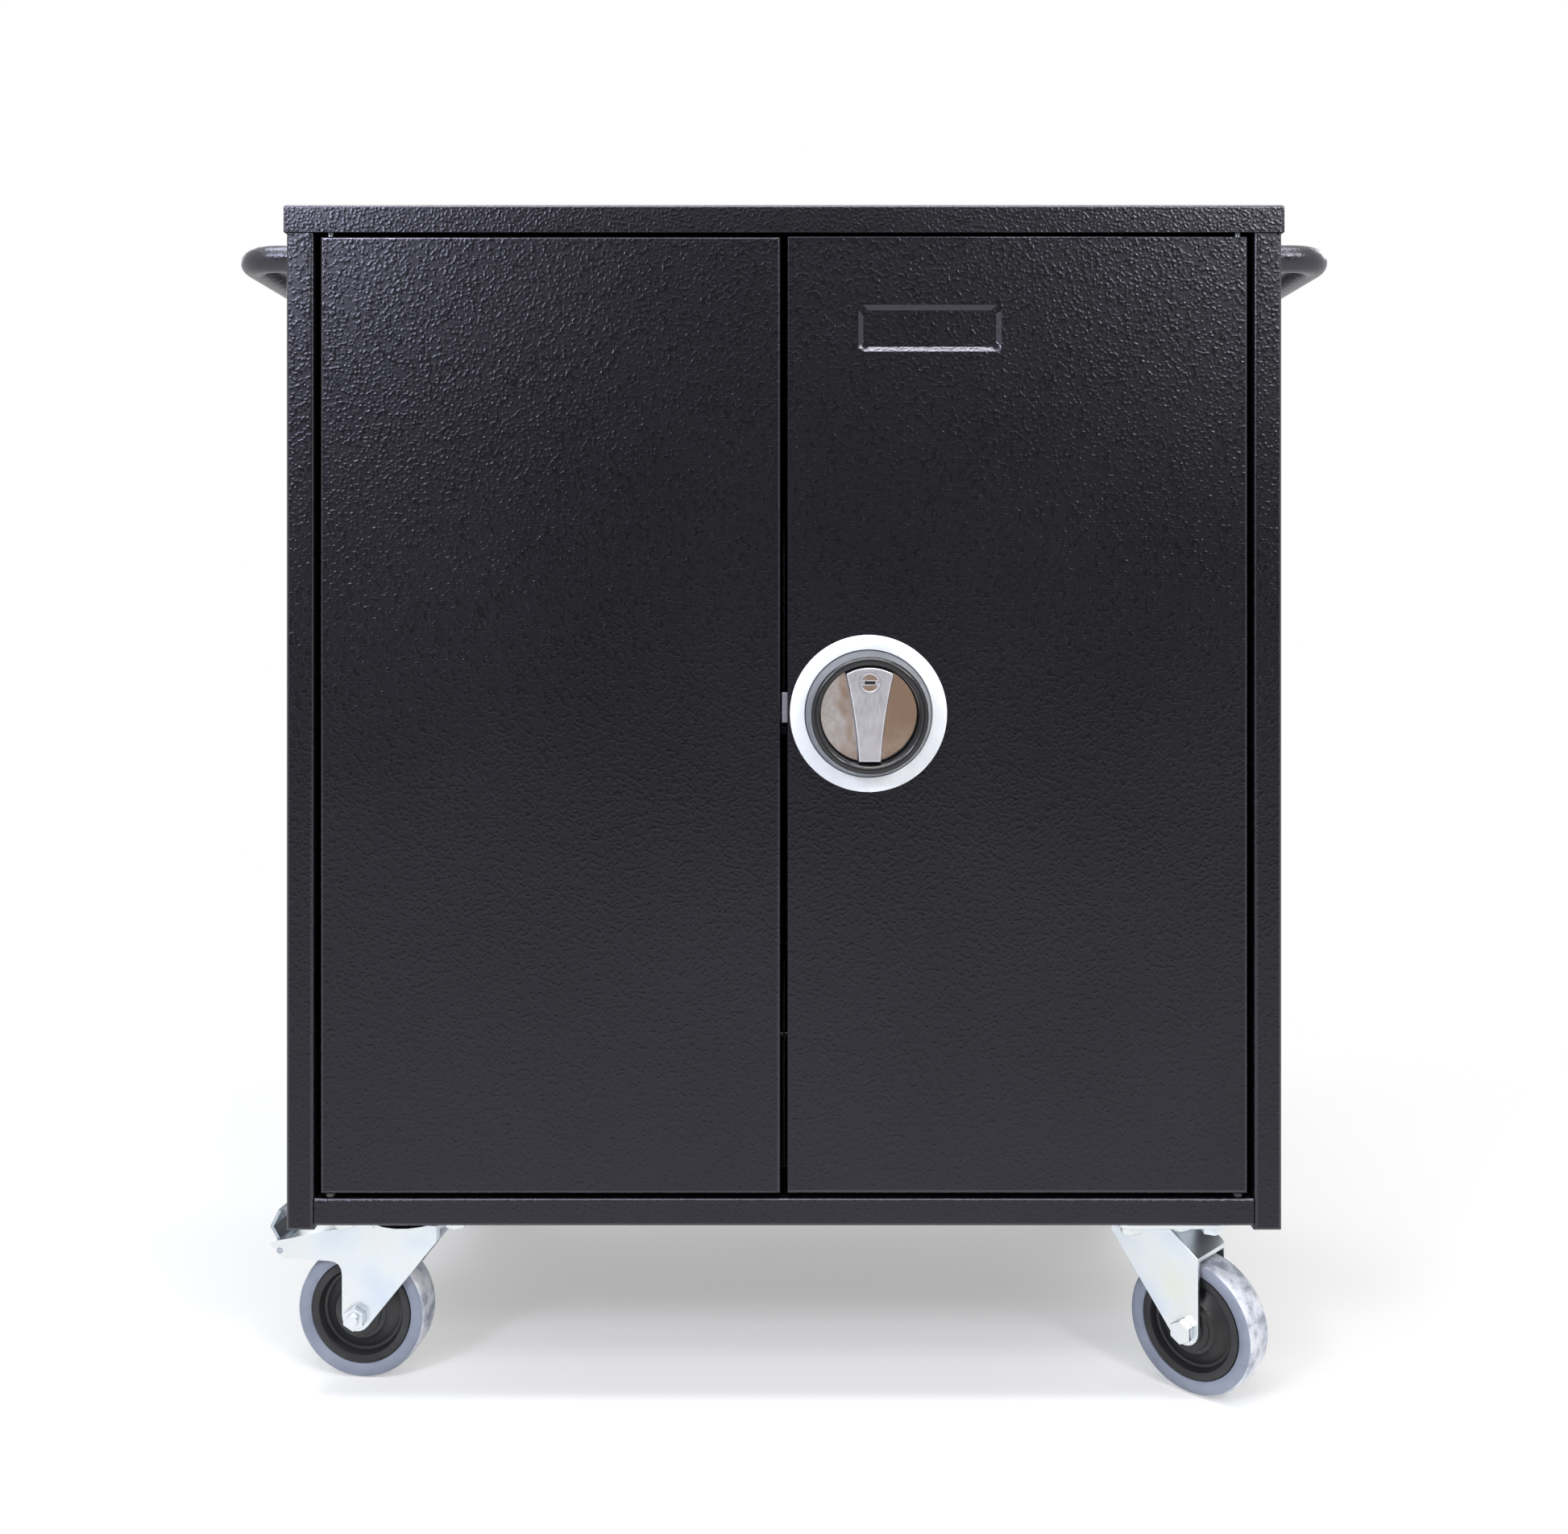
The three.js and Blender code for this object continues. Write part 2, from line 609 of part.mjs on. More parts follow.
// Timer: a closed box with cooling grooves across its face
function chargeTimer() {
  const z0 = CEILING_Z - TIMER_BELOW_LID - TIMER_HEIGHT;
  const front = POWER_BACK - TIMER_DEPTH;
  let timer = block(POWER_X, POWER_X + TIMER_WIDTH, front, POWER_BACK, z0, z0 + TIMER_HEIGHT);
  const grooves = Math.floor(TIMER_WIDTH / 2 / TIMER_FIN_PITCH);
  for (let i = 0; i < grooves; i += 1) {
    const x = POWER_X + TIMER_WIDTH / 2 + i * TIMER_FIN_PITCH;
    timer = cut(timer, block(
      x, x + TIMER_FIN_DEPTH, front - SHEET, front + TIMER_FIN_DEPTH,
      z0 - SHEET, z0 + TIMER_HEIGHT + SHEET));
  }
  return timer;
}

// Mains inlet: a flange outside the back panel, and a shrouded body through it with three blades
function mainsInlet() {
  const [halfWide, halfHigh] = [INLET_WIDTH / 2, INLET_HEIGHT / 2];
  const flangeBack = BACK_PANEL_OUTSIDE + FIT;
  const face = flangeBack + INLET_FLANGE_THICK;
  const floor = face - INLET_BODY + INLET_WALL;
  const flange = block(
    TRUNK_X - halfWide - INLET_FLANGE, TRUNK_X + halfWide + INLET_FLANGE, flangeBack, face,
    INLET_Z - halfHigh - INLET_WALL, INLET_Z + halfHigh + INLET_WALL);
  const body = block(
    TRUNK_X - halfWide, TRUNK_X + halfWide, face - INLET_BODY, flangeBack,
    INLET_Z - halfHigh, INLET_Z + halfHigh);
  const well = block(
    TRUNK_X - halfWide + INLET_WALL, TRUNK_X + halfWide - INLET_WALL, floor, face + SHEET,
    INLET_Z - halfHigh + INLET_WALL, INLET_Z + halfHigh - INLET_WALL);
  const blades = [-1, 0, 1].map((place) => TRUNK_X + (place * INLET_WIDTH) / 4).map((x) => block(
    x - INLET_WALL / 2, x + INLET_WALL / 2,
    floor - INLET_WALL / 2, face - INLET_FLANGE_THICK,
    INLET_Z - INLET_WALL, INLET_Z + INLET_WALL));
  return join(cut(join(flange, body), well), ...blades);
}

// Push handle: a tube bent back at both ends to the side panel
function pushHandle(side) {
  const z = LID_Z - HANDLE_BELOW_LID - HANDLE_TUBE / 2;
  const root = HALF_WIDTH + FIT;
  const run = HALF_WIDTH + HANDLE_REACH - HANDLE_TUBE / 2;
  const [near, far] = [FRONT + HANDLE_SETBACK, BACK - HANDLE_SETBACK];
  const points = [new THREE.Vector3(root, near, z)];
  for (let i = 0; i <= BEND_STEPS; i += 1) {
    const angle = ((i / BEND_STEPS) * Math.PI) / 2;
    const reach = HANDLE_BEND * (1 - Math.sin(angle));
    points.push(new THREE.Vector3(run - reach, near + HANDLE_BEND * (1 - Math.cos(angle)), z));
  }
  const back = points.map((point) => new THREE.Vector3(point.x, near + far - point.y, z)).reverse();
  const path = [...points, ...back];
  if (side > 0) return bentTube(path, HANDLE_TUBE, HANDLE_SIDES);
  const mirrored = path.map((point) => new THREE.Vector3(-point.x, point.y, z)).reverse();
  return bentTube(mirrored, HANDLE_TUBE, HANDLE_SIDES);
}

add("lid", lid(), POWDER_COAT);
add("left_side_panel", sidePanel(-1), POWDER_COAT);
add("right_side_panel", sidePanel(1), POWDER_COAT);
add("base_tray", baseTray(), POWDER_COAT);
add("header_rail", headerRail(), POWDER_COAT);
add("middle_shelf", cut(middleShelf(), trunkNotch()), POWDER_COAT);
add("back_panel", backPanel(), POWDER_COAT);
add("lower_divider_rack", dividerRack(FLOOR_Z), GREY_PLASTIC);
add("upper_divider_rack", dividerRack(SHELF_Z), GREY_PLASTIC);
add("cable_trunking", trunking(), GREY_PLASTIC);
add("lower_outlet_strip", outletStrip(FLOOR_Z), BLACK_PLASTIC);
add("upper_outlet_strip", outletStrip(SHELF_Z), BLACK_PLASTIC);
add("charge_timer", chargeTimer(), DARK_STEEL);
add("mains_inlet", mainsInlet(), BLACK_PLASTIC);
add("left_push_handle", pushHandle(-1), POWDER_COAT);
add("right_push_handle", pushHandle(1), POWDER_COAT);

// Hinge pins: the upper one hangs by its head in the header, the lower one carries the door on its collar
const PIN_RADIUS = PIN_DIAMETER / 2;
const PIN_HEAD_RADIUS = PIN_HEAD / 2;

function upperPin() {
  const seat = LID_Z + SHEET + FIT;
  return turnedUpright([
    [0, DOOR_TOP - PIN_GRIP],
    [PIN_RADIUS, DOOR_TOP - PIN_GRIP],
    [PIN_RADIUS, seat],
    [PIN_HEAD_RADIUS, seat],
    [PIN_HEAD_RADIUS, seat + PIN_HEAD_HEIGHT],
    [0, seat + PIN_HEAD_HEIGHT],
  ], SMALL_FACETS);
}

function lowerPin() {
  return turnedUpright([
    [0, FLOOR_Z - PIN_GRIP],
    [PIN_RADIUS, FLOOR_Z - PIN_GRIP],
    [PIN_RADIUS, FLOOR_Z + FIT],
    [PIN_HEAD_RADIUS, FLOOR_Z + FIT],
    [PIN_HEAD_RADIUS, DOOR_BOTTOM - FIT],
    [PIN_RADIUS, DOOR_BOTTOM - FIT],
    [PIN_RADIUS, DOOR_BOTTOM + PIN_GRIP],
    [0, DOOR_BOTTOM + PIN_GRIP],
  ], SMALL_FACETS);
}

for (const [name, side] of [["left", -1], ["right", 1]]) {
  add(`${name}_upper_hinge_pin`, upperPin().translate(side * PIVOT_X, PIVOT_Y, 0), ZINC);
  add(`${name}_lower_hinge_pin`, lowerPin().translate(side * PIVOT_X, PIVOT_Y, 0), ZINC);
}

// Door pan: a sheet with its edges folded back and a lip turned in behind, with holes for its pivots
function doorPan(side) {
  const [a, b] = side > 0 ? [DOOR_INNER, DOOR_OUTER] : [-DOOR_OUTER, -DOOR_INNER];
  const rear = FRONT + DOOR_DEPTH;
  const outside = block(a, b, FRONT, rear, DOOR_BOTTOM, DOOR_TOP);
  const hollow = block(
    a + SHEET, b - SHEET, FRONT + SHEET, rear - SHEET, DOOR_BOTTOM + SHEET, DOOR_TOP - SHEET);
  const opening = block(
    a + DOOR_LIP, b - DOOR_LIP, FRONT + DOOR_DEPTH / 2, rear + SHEET,
    DOOR_BOTTOM + DOOR_LIP, DOOR_TOP - DOOR_LIP);
  const pivot = pegZ(
    PIN_DIAMETER + 2 * FIT, side * PIVOT_X, PIVOT_Y,
    DOOR_BOTTOM - SHEET, DOOR_TOP + SHEET, SMALL_FACETS);
  return cut(outside, hollow, opening, pivot);
}

// The slot in a door's free edge that the latch tongue runs through
const tongueSlot = (x0, x1) => block(
  x0, x1, TONGUE_Y - SLIDE_FIT, TONGUE_Y + TONGUE_THICK + SLIDE_FIT,
  TONGUE_Z - TONGUE_HEIGHT / 2 - SLIDE_FIT, TONGUE_Z + TONGUE_HEIGHT / 2 + SLIDE_FIT);

// A guide that holds a lock rod against the inside of the right door
function rodGuide(z) {
  const wall = SLIDE_FIT + GUIDE_WALL;
  const bracket = block(
    LOCK_X - ROD_WIDTH / 2 - wall, LOCK_X + ROD_WIDTH / 2 + wall, FRONT + SHEET,
    ROD_Y + ROD_THICK + wall, z - GUIDE_LENGTH / 2, z + GUIDE_LENGTH / 2);
  return cut(bracket, rodSlot(z - GUIDE_LENGTH, z + GUIDE_LENGTH));
}

function rightDoor() {
  const recessX = DOOR_INNER + RECESS_FROM_EDGE + RECESS_WIDTH / 2;
  const recessZ = DOOR_TOP - RECESS_FROM_TOP - RECESS_HEIGHT / 2;
  const pressing = tray(
    recessX, recessZ, RECESS_WIDTH + SHEET, RECESS_HEIGHT + SHEET, RECESS_BEVEL,
    FRONT + SHEET / 2, FRONT + SHEET + RECESS_DEPTH);
  const recess = tray(
    recessX, recessZ, RECESS_WIDTH, RECESS_HEIGHT, RECESS_BEVEL, FRONT, FRONT + RECESS_DEPTH);
  const lockHole = pegY(LOCK_HOLE, LOCK_X, LOCK_Z, FRONT - SHEET, FRONT + 2 * SHEET, LOCK_BORE_FACETS);
  const guides = [
    DOOR_TOP - GUIDE_FROM_END,
    DOOR_BOTTOM + GUIDE_FROM_END,
  ].map(rodGuide);
  const face = cut(join(doorPan(1), pressing, ...guides), recess, lockHole);
  return cut(
    face, tongueSlot(DOOR_INNER - SHEET, DOOR_INNER + 2 * SHEET),
    rodSlot(DOOR_TOP - 2 * SHEET, DOOR_TOP + SHEET), rodSlot(DOOR_BOTTOM - SHEET, DOOR_BOTTOM + 2 * SHEET));
}

const leftDoor = cut(doorPan(-1), tongueSlot(-DOOR_INNER - 2 * SHEET, -DOOR_INNER + SHEET));
add("left_door", leftDoor, POWDER_COAT);
add("right_door", rightDoor(), POWDER_COAT);

// Lock: its group stands at the lever's axis on the door's face, with -Y toward the hand
const lock = new THREE.Group();
lock.position.set(LOCK_X, FRONT, LOCK_Z);
cart.add(lock);

const COLLAR_SEAT = -FIT;
const CUP_FLOOR = COLLAR_SEAT - COLLAR_FLOOR;
const DISC_BACK = CUP_FLOOR - FIT;
const DISC_FACE = DISC_BACK - DISC_HEIGHT;
const LEVER_BACK = DISC_FACE - FIT;
const LEVER_FACE = LEVER_BACK - LEVER_HEIGHT;
const CUP_RADIUS = CUP_DIAMETER / 2;
const BORE_RADIUS = SPINDLE_DIAMETER / 2 + FIT;

const ROSETTE_BORE = COLLAR_BASE / 2 + FIT;
add("lock_rosette", turned([
  [ROSETTE_BORE, COLLAR_SEAT - ROSETTE_HEIGHT],
  [ROSETTE_DIAMETER / 2 - ROSETTE_HEIGHT / 2, COLLAR_SEAT - ROSETTE_HEIGHT],
  [ROSETTE_DIAMETER / 2, COLLAR_SEAT - ROSETTE_HEIGHT / 2],
  [ROSETTE_DIAMETER / 2, COLLAR_SEAT],
  [ROSETTE_BORE, COLLAR_SEAT],
  [ROSETTE_BORE, COLLAR_SEAT - ROSETTE_HEIGHT],
], LOCK_FACETS), PALE_RING, lock);

// Collar: a cup that narrows toward a rounded rim
function collar() {
  const rimBase = COLLAR_SEAT - COLLAR_HEIGHT + RIM_ROUND;
  const middle = (CUP_RADIUS + COLLAR_RIM / 2) / 2;
  const half = COLLAR_RIM / 2 - middle;
  const rim = [];
  for (let i = 0; i <= RIM_STEPS; i += 1) {
    const angle = Math.PI + (i * Math.PI) / RIM_STEPS;
    rim.push([middle + half * Math.cos(angle), rimBase + RIM_ROUND * Math.sin(angle)]);
  }
  return turned([
    [BORE_RADIUS, COLLAR_SEAT],
    [BORE_RADIUS, CUP_FLOOR],
    [CUP_RADIUS, CUP_FLOOR],
    ...rim,
    [COLLAR_BASE / 2, COLLAR_SEAT],
    [BORE_RADIUS, COLLAR_SEAT],
  ], LOCK_FACETS);
}
add("lock_collar", collar(), BLACK_PLASTIC, lock);

const DISC_RADIUS = CUP_RADIUS - DISC_GAP;
add("lock_disc", turned([
  [0, DISC_FACE],
  [DISC_RADIUS - DISC_HEIGHT / 2, DISC_FACE],
  [DISC_RADIUS, DISC_FACE + DISC_HEIGHT / 2],
  [DISC_RADIUS, DISC_BACK],
  [0, DISC_BACK],
], LOCK_FACETS), CHROME, lock);

// Lever: a grip with a wide head that follows the cup and tapers to a narrow foot.
// Its head is bored for the key cylinder.
function lever() {
  const reach = CUP_RADIUS - LEVER_GAP;
  const headZ = Math.sqrt(reach ** 2 - (LEVER_HEAD / 2) ** 2);
  const footZ = -Math.sqrt(reach ** 2 - (LEVER_FOOT / 2) ** 2);
  const headAngle = Math.atan2(headZ, LEVER_HEAD / 2);
  const shape = new THREE.Shape();
  shape.absarc(0, 0, reach, headAngle, Math.PI - headAngle);
  shape.quadraticCurveTo(-LEVER_WAIST / 2, 0, -LEVER_FOOT / 2, footZ);
  shape.lineTo(LEVER_FOOT / 2, footZ);
  shape.quadraticCurveTo(LEVER_WAIST / 2, 0, LEVER_HEAD / 2, headZ);
  const bore = pegY(
    KEY_DIAMETER + 2 * FIT, 0, KEY_OFFSET,
    LEVER_FACE - FIT, LEVER_FACE + KEY_DEPTH + FIT, LOCK_BORE_FACETS);
  return cut(alongY(shape, LEVER_FACE, LEVER_BACK, FINE_ARC), bore);
}
add("lock_lever", lever(), SATIN, lock);

function keyCylinder() {
  const plug = pegY(
    KEY_DIAMETER, 0, KEY_OFFSET, LEVER_FACE - KEY_PROUD, LEVER_FACE + KEY_DEPTH, LOCK_BORE_FACETS);
  const slot = block(
    -KEY_SLOT_LENGTH / 2, KEY_SLOT_LENGTH / 2,
    LEVER_FACE - 2 * KEY_PROUD, LEVER_FACE - KEY_PROUD + KEY_SLOT_DEPTH,
    KEY_OFFSET - KEY_SLOT_WIDTH / 2, KEY_OFFSET + KEY_SLOT_WIDTH / 2);
  return cut(plug, slot);
}
add("key_cylinder", keyCylinder(), CHROME, lock);

// Cam: the lever's spindle with a round-ended plate that works the rods
function cam() {
  const ends = (CAM_LENGTH - CAM_WIDTH) / 2;
  const plate = new THREE.Shape();
  plate.absarc(ends, 0, CAM_WIDTH / 2, -Math.PI / 2, Math.PI / 2);
  plate.absarc(-ends, 0, CAM_WIDTH / 2, Math.PI / 2, 1.5 * Math.PI);
  return join(
    pegY(SPINDLE_DIAMETER, 0, 0, DISC_BACK + FIT, CAM_END - FRONT),
    alongY(plate, CAM_Y - FRONT, CAM_END - FRONT));
}
add("lock_cam", cam(), ZINC, lock);

// Case: a cover over the cam, open toward the door's face, with ways out for the rods and the tongue
function lockCase() {
  const [halfWide, halfHigh] = [CASE_WIDTH / 2, CASE_HEIGHT / 2];
  const face = FRONT + SHEET + FIT;
  const rear = CAM_END + CASE_CLEAR + CASE_WALL;
  const outside = block(
    LOCK_X - halfWide, LOCK_X + halfWide, face, rear, LOCK_Z - halfHigh, LOCK_Z + halfHigh);
  const inside = block(
    LOCK_X - halfWide + CASE_WALL, LOCK_X + halfWide - CASE_WALL, face - SHEET, rear - CASE_WALL,
    LOCK_Z - halfHigh + CASE_WALL, LOCK_Z + halfHigh - CASE_WALL);
  return cut(
    outside, inside,
    rodSlot(LOCK_Z - CASE_HEIGHT, LOCK_Z + CASE_HEIGHT),
    tongueSlot(LOCK_X - CASE_WIDTH, LOCK_X));
}
add("lock_case", lockCase(), ZINC);

// Lock rods end just inside the door's edges, and the tongue's nose stands in the gap between the doors
const ROD_ROOT = SPINDLE_DIAMETER / 2 + ROD_CAP;
const lockRod = (z0, z1) => block(
  LOCK_X - ROD_WIDTH / 2, LOCK_X + ROD_WIDTH / 2, ROD_Y, ROD_Y + ROD_THICK, z0, z1);
add("upper_lock_rod", lockRod(LOCK_Z + ROD_ROOT, DOOR_TOP - ROD_TIP_SINK), ZINC);
add("lower_lock_rod", lockRod(DOOR_BOTTOM + ROD_TIP_SINK, LOCK_Z - ROD_ROOT), ZINC);
add("latch_tongue", block(
  -DOOR_INNER + TONGUE_CLEAR, LOCK_X - TONGUE_TAIL, TONGUE_Y, TONGUE_Y + TONGUE_THICK,
  TONGUE_Z - TONGUE_HEIGHT / 2, TONGUE_Z + TONGUE_HEIGHT / 2), ZINC);

// Caster pieces stand on the swivel axis, with the wheel trailing toward -X
const LEG_INSIDE = TYRE_WIDTH / 2 + FORK_GAP;
const LEG_OUTSIDE = LEG_INSIDE + FORK_SHEET;
const CROWN_UNDER = CROWN_Z - FORK_SHEET;
const LEG_REAR = -TRAIL - LEG_END;
const EAR_TIP_Z = CROWN_Z - EAR_TIP_DROP;
const EAR_UNDER = CROWN_Z - EAR_DEPTH;

function casterPlate() {
  const shape = roundedRectangle(PLATE_LENGTH, PLATE_WIDTH, PLATE_CORNER);
  for (const x of [-BOLT_SPACING_LONG / 2, BOLT_SPACING_LONG / 2]) {
    for (const y of [-BOLT_SPACING_SHORT / 2, BOLT_SPACING_SHORT / 2]) {
      const hole = new THREE.Path();
      hole.absarc(x, y, BOLT_HOLE / 2, 0, 2 * Math.PI, true);
      shape.holes.push(hole);
    }
  }
  return alongZ(shape, PLATE_Z, PLATE_Z + PLATE_THICK, COARSE_ARC);
}

// Swivel bearing: the race under the plate with the king pin that hangs the fork
function swivelBearing() {
  const [outer, chamfer] = [BEARING_DIAMETER / 2, BEARING_CHAMFER];
  const [bottom, top] = [CROWN_Z + FIT, PLATE_Z - FIT];
  return turnedUpright([
    [0, CROWN_UNDER - FIT - KING_PIN_HEAD_HEIGHT],
    [KING_PIN_HEAD / 2, CROWN_UNDER - FIT - KING_PIN_HEAD_HEIGHT],
    [KING_PIN_HEAD / 2, CROWN_UNDER - FIT],
    [KING_PIN / 2, CROWN_UNDER - FIT],
    [KING_PIN / 2, bottom],
    [outer - chamfer, bottom],
    [outer, (bottom + top) / 2],
    [outer - chamfer, top],
    [0, top],
  ], BEARING_FACETS);
}

// Side view of the pressed fork, from the crown's nose round the trailing side to the axle and back up
function forkOutline(braked) {
  const shape = new THREE.Shape();
  shape.moveTo(CROWN_NOSE, CROWN_Z);
  shape.lineTo(-CROWN_SLOPE_START, CROWN_Z);
  if (braked) {
    shape.lineTo(-EAR_REACH, EAR_TIP_Z);
    shape.lineTo(-EAR_REACH + EAR_NOSE, EAR_UNDER);
    shape.lineTo(LEG_REAR - EAR_FILLET, EAR_UNDER);
    shape.quadraticCurveTo(LEG_REAR, EAR_UNDER, LEG_REAR, EAR_UNDER - EAR_FILLET);
  } else {
    shape.lineTo(LEG_REAR, CROWN_Z - CROWN_LIP_DROP);
  }
  shape.lineTo(LEG_REAR, AXLE_Z);
  const [wide, high] = [CROWN_NOSE + TRAIL, CROWN_UNDER - AXLE_Z];
  const tangent = Math.atan2(high, wide) - Math.acos(LEG_END / Math.hypot(wide, high));
  shape.absarc(-TRAIL, AXLE_Z, LEG_END, Math.PI, 2 * Math.PI + tangent);
  shape.lineTo(CROWN_NOSE, CROWN_UNDER);
  shape.closePath();
  return shape;
}

// Fork: the side view carried across, hollowed between its legs and rounded at the nose
function fork(braked) {
  const [far, near] = [-EAR_REACH - EAR_NOSE, CROWN_NOSE + EAR_NOSE];
  const slopeEnd = braked ? [-EAR_REACH, EAR_TIP_Z - FORK_SHEET] : [LEG_REAR, CROWN_UNDER - CROWN_LIP_DROP];
  const between = outline([
    [near, 0],
    [near, CROWN_UNDER],
    [-CROWN_SLOPE_START, CROWN_UNDER],
    slopeEnd,
    [far, slopeEnd[1]],
    [far, 0],
  ]);
  const plan = join(
    pegZ(2 * CROWN_NOSE, 0, 0, 0, CROWN_Z),
    block(far, 0, -LEG_OUTSIDE, LEG_OUTSIDE, 0, CROWN_Z));
  const shell = cut(
    alongY(forkOutline(braked), -LEG_OUTSIDE, LEG_OUTSIDE, COARSE_ARC).intersect(plan),
    alongY(between, -LEG_INSIDE, LEG_INSIDE));
  const dish = pegZ(CROWN_DISH, 0, 0, CROWN_UNDER, CROWN_Z);
  const bores = [
    pegZ(KING_PIN + 2 * FIT, 0, 0, CROWN_UNDER - FIT, CROWN_Z + FIT, BEARING_FACETS),
    pegY(AXLE_DIAMETER + 2 * FIT, -TRAIL, AXLE_Z, -2 * LEG_OUTSIDE, 2 * LEG_OUTSIDE, SMALL_FACETS),
  ];
  if (braked) {
    bores.push(
      pegY(PEDAL_PIN + 2 * FIT, PEDAL_X, PEDAL_Z, -2 * LEG_OUTSIDE, 2 * LEG_OUTSIDE, SMALL_FACETS),
      block(far, -EAR_REACH + PEDAL_ROOM, -LEG_INSIDE, LEG_INSIDE, EAR_UNDER, CROWN_Z));
  }
  return cut(join(shell, dish), ...bores);
}

const hexagon = (acrossFlats, x, z, y0, y1) => pegY((2 * acrossFlats) / Math.sqrt(3), x, z, y0, y1, 6);

// Axle bolt: head on one leg, nut and thread end on the other
function axleBolt() {
  const seat = LEG_OUTSIDE + FIT;
  return join(
    pegY(AXLE_DIAMETER, -TRAIL, AXLE_Z, -seat - AXLE_HEAD - AXLE_END, seat, SMALL_FACETS),
    hexagon(AXLE_HEX, -TRAIL, AXLE_Z, seat, seat + AXLE_HEAD),
    hexagon(AXLE_HEX, -TRAIL, AXLE_Z, -seat - AXLE_HEAD, -seat));
}

// Hub: a moulded centre dished on both sides, with a boss that runs between the legs
function wheelHub() {
  const rim = WHEEL_RADIUS - TYRE_DEPTH - FIT;
  const [half, boss] = [HUB_WIDTH / 2, LEG_INSIDE - BOSS_GAP];
  const dish = half - HUB_DISH;
  const bore = AXLE_DIAMETER / 2 + FIT;
  const bossRadius = HUB_BOSS / 2;
  const side = [
    [bore, boss],
    [bossRadius, boss],
    [rim - HUB_RIM - HUB_DISH / 2, dish],
    [rim - HUB_RIM, half],
    [rim, half],
  ];
  const mirror = side.map(([radius, y]) => [radius, -y]);
  return turned([...mirror, ...side.reverse(), mirror[0]], WHEEL_FACETS);
}

function tyre() {
  const inner = WHEEL_RADIUS - TYRE_DEPTH;
  const half = TYRE_WIDTH / 2;
  const side = [
    [inner, half - TYRE_SHOULDER / 2],
    [WHEEL_RADIUS - TYRE_SHOULDER, half],
    [WHEEL_RADIUS - TYRE_SHOULDER / 4, half - TYRE_SHOULDER / 3],
    [WHEEL_RADIUS, half - TYRE_SHOULDER],
  ];
  const mirror = side.map(([radius, y]) => [radius, -y]);
  return turned([...mirror, ...side.reverse(), mirror[0]], WHEEL_FACETS);
}

// Brake pedal: a bent leaf on a barrel, its pin running in the fork's ears
const PEDAL_X = -EAR_REACH + PEDAL_HINGE_INSET;
const PEDAL_Z = EAR_UNDER + PEDAL_HINGE_RAISE;

function brakePedal() {
  const half = LEG_INSIDE - PEDAL_GAP;
  const leaf = folded([
    [PEDAL_X, PEDAL_Z],
    [PEDAL_X - PEDAL_LEAN, PEDAL_Z + PEDAL_RISE],
    [PEDAL_X - PEDAL_TIP_LEAN, PEDAL_Z + PEDAL_TIP_RISE],
  ], -PEDAL_SHEET);
  return join(
    alongY(leaf, -half, half),
    pegY(PEDAL_BARREL, PEDAL_X, PEDAL_Z, -half, half, SMALL_FACETS),
    pegY(PEDAL_PIN, PEDAL_X, PEDAL_Z, -LEG_OUTSIDE, LEG_OUTSIDE, SMALL_FACETS));
}

function addCaster(name, x, y, yaw, lengthways, braked) {
  const stand = new THREE.Group();
  stand.position.set(x, y, 0);
  cart.add(stand);
  const plateTurn = new THREE.Group();
  plateTurn.rotation.z = lengthways ? Math.PI / 2 : 0;
  stand.add(plateTurn);
  add(`${name}_caster_plate`, casterPlate(), ZINC, plateTurn);
  add(`${name}_swivel_bearing`, swivelBearing(), DARK_STEEL, stand);
  const swivel = new THREE.Group();
  swivel.rotation.z = THREE.MathUtils.degToRad(yaw);
  stand.add(swivel);
  add(`${name}_fork`, fork(braked), ZINC, swivel);
  add(`${name}_axle_bolt`, axleBolt(), ZINC, swivel);
  if (braked) add(`${name}_brake_pedal`, brakePedal(), DARK_STEEL, swivel);
  add(`${name}_wheel_hub`, wheelHub().translate(-TRAIL, 0, AXLE_Z), BLACK_PLASTIC, swivel);
  add(`${name}_tyre`, tyre().translate(-TRAIL, 0, AXLE_Z), RUBBER, swivel);
}

addCaster("front_left", -CASTER_X, -CASTER_Y, FRONT_LEFT_YAW, false, true);
addCaster("front_right", CASTER_X, -CASTER_Y, FRONT_RIGHT_YAW, true, false);
addCaster("rear_right", CASTER_X, CASTER_Y, REAR_RIGHT_YAW, false, true);
addCaster("rear_left", -CASTER_X, CASTER_Y, REAR_LEFT_YAW, true, false);

export default cart;
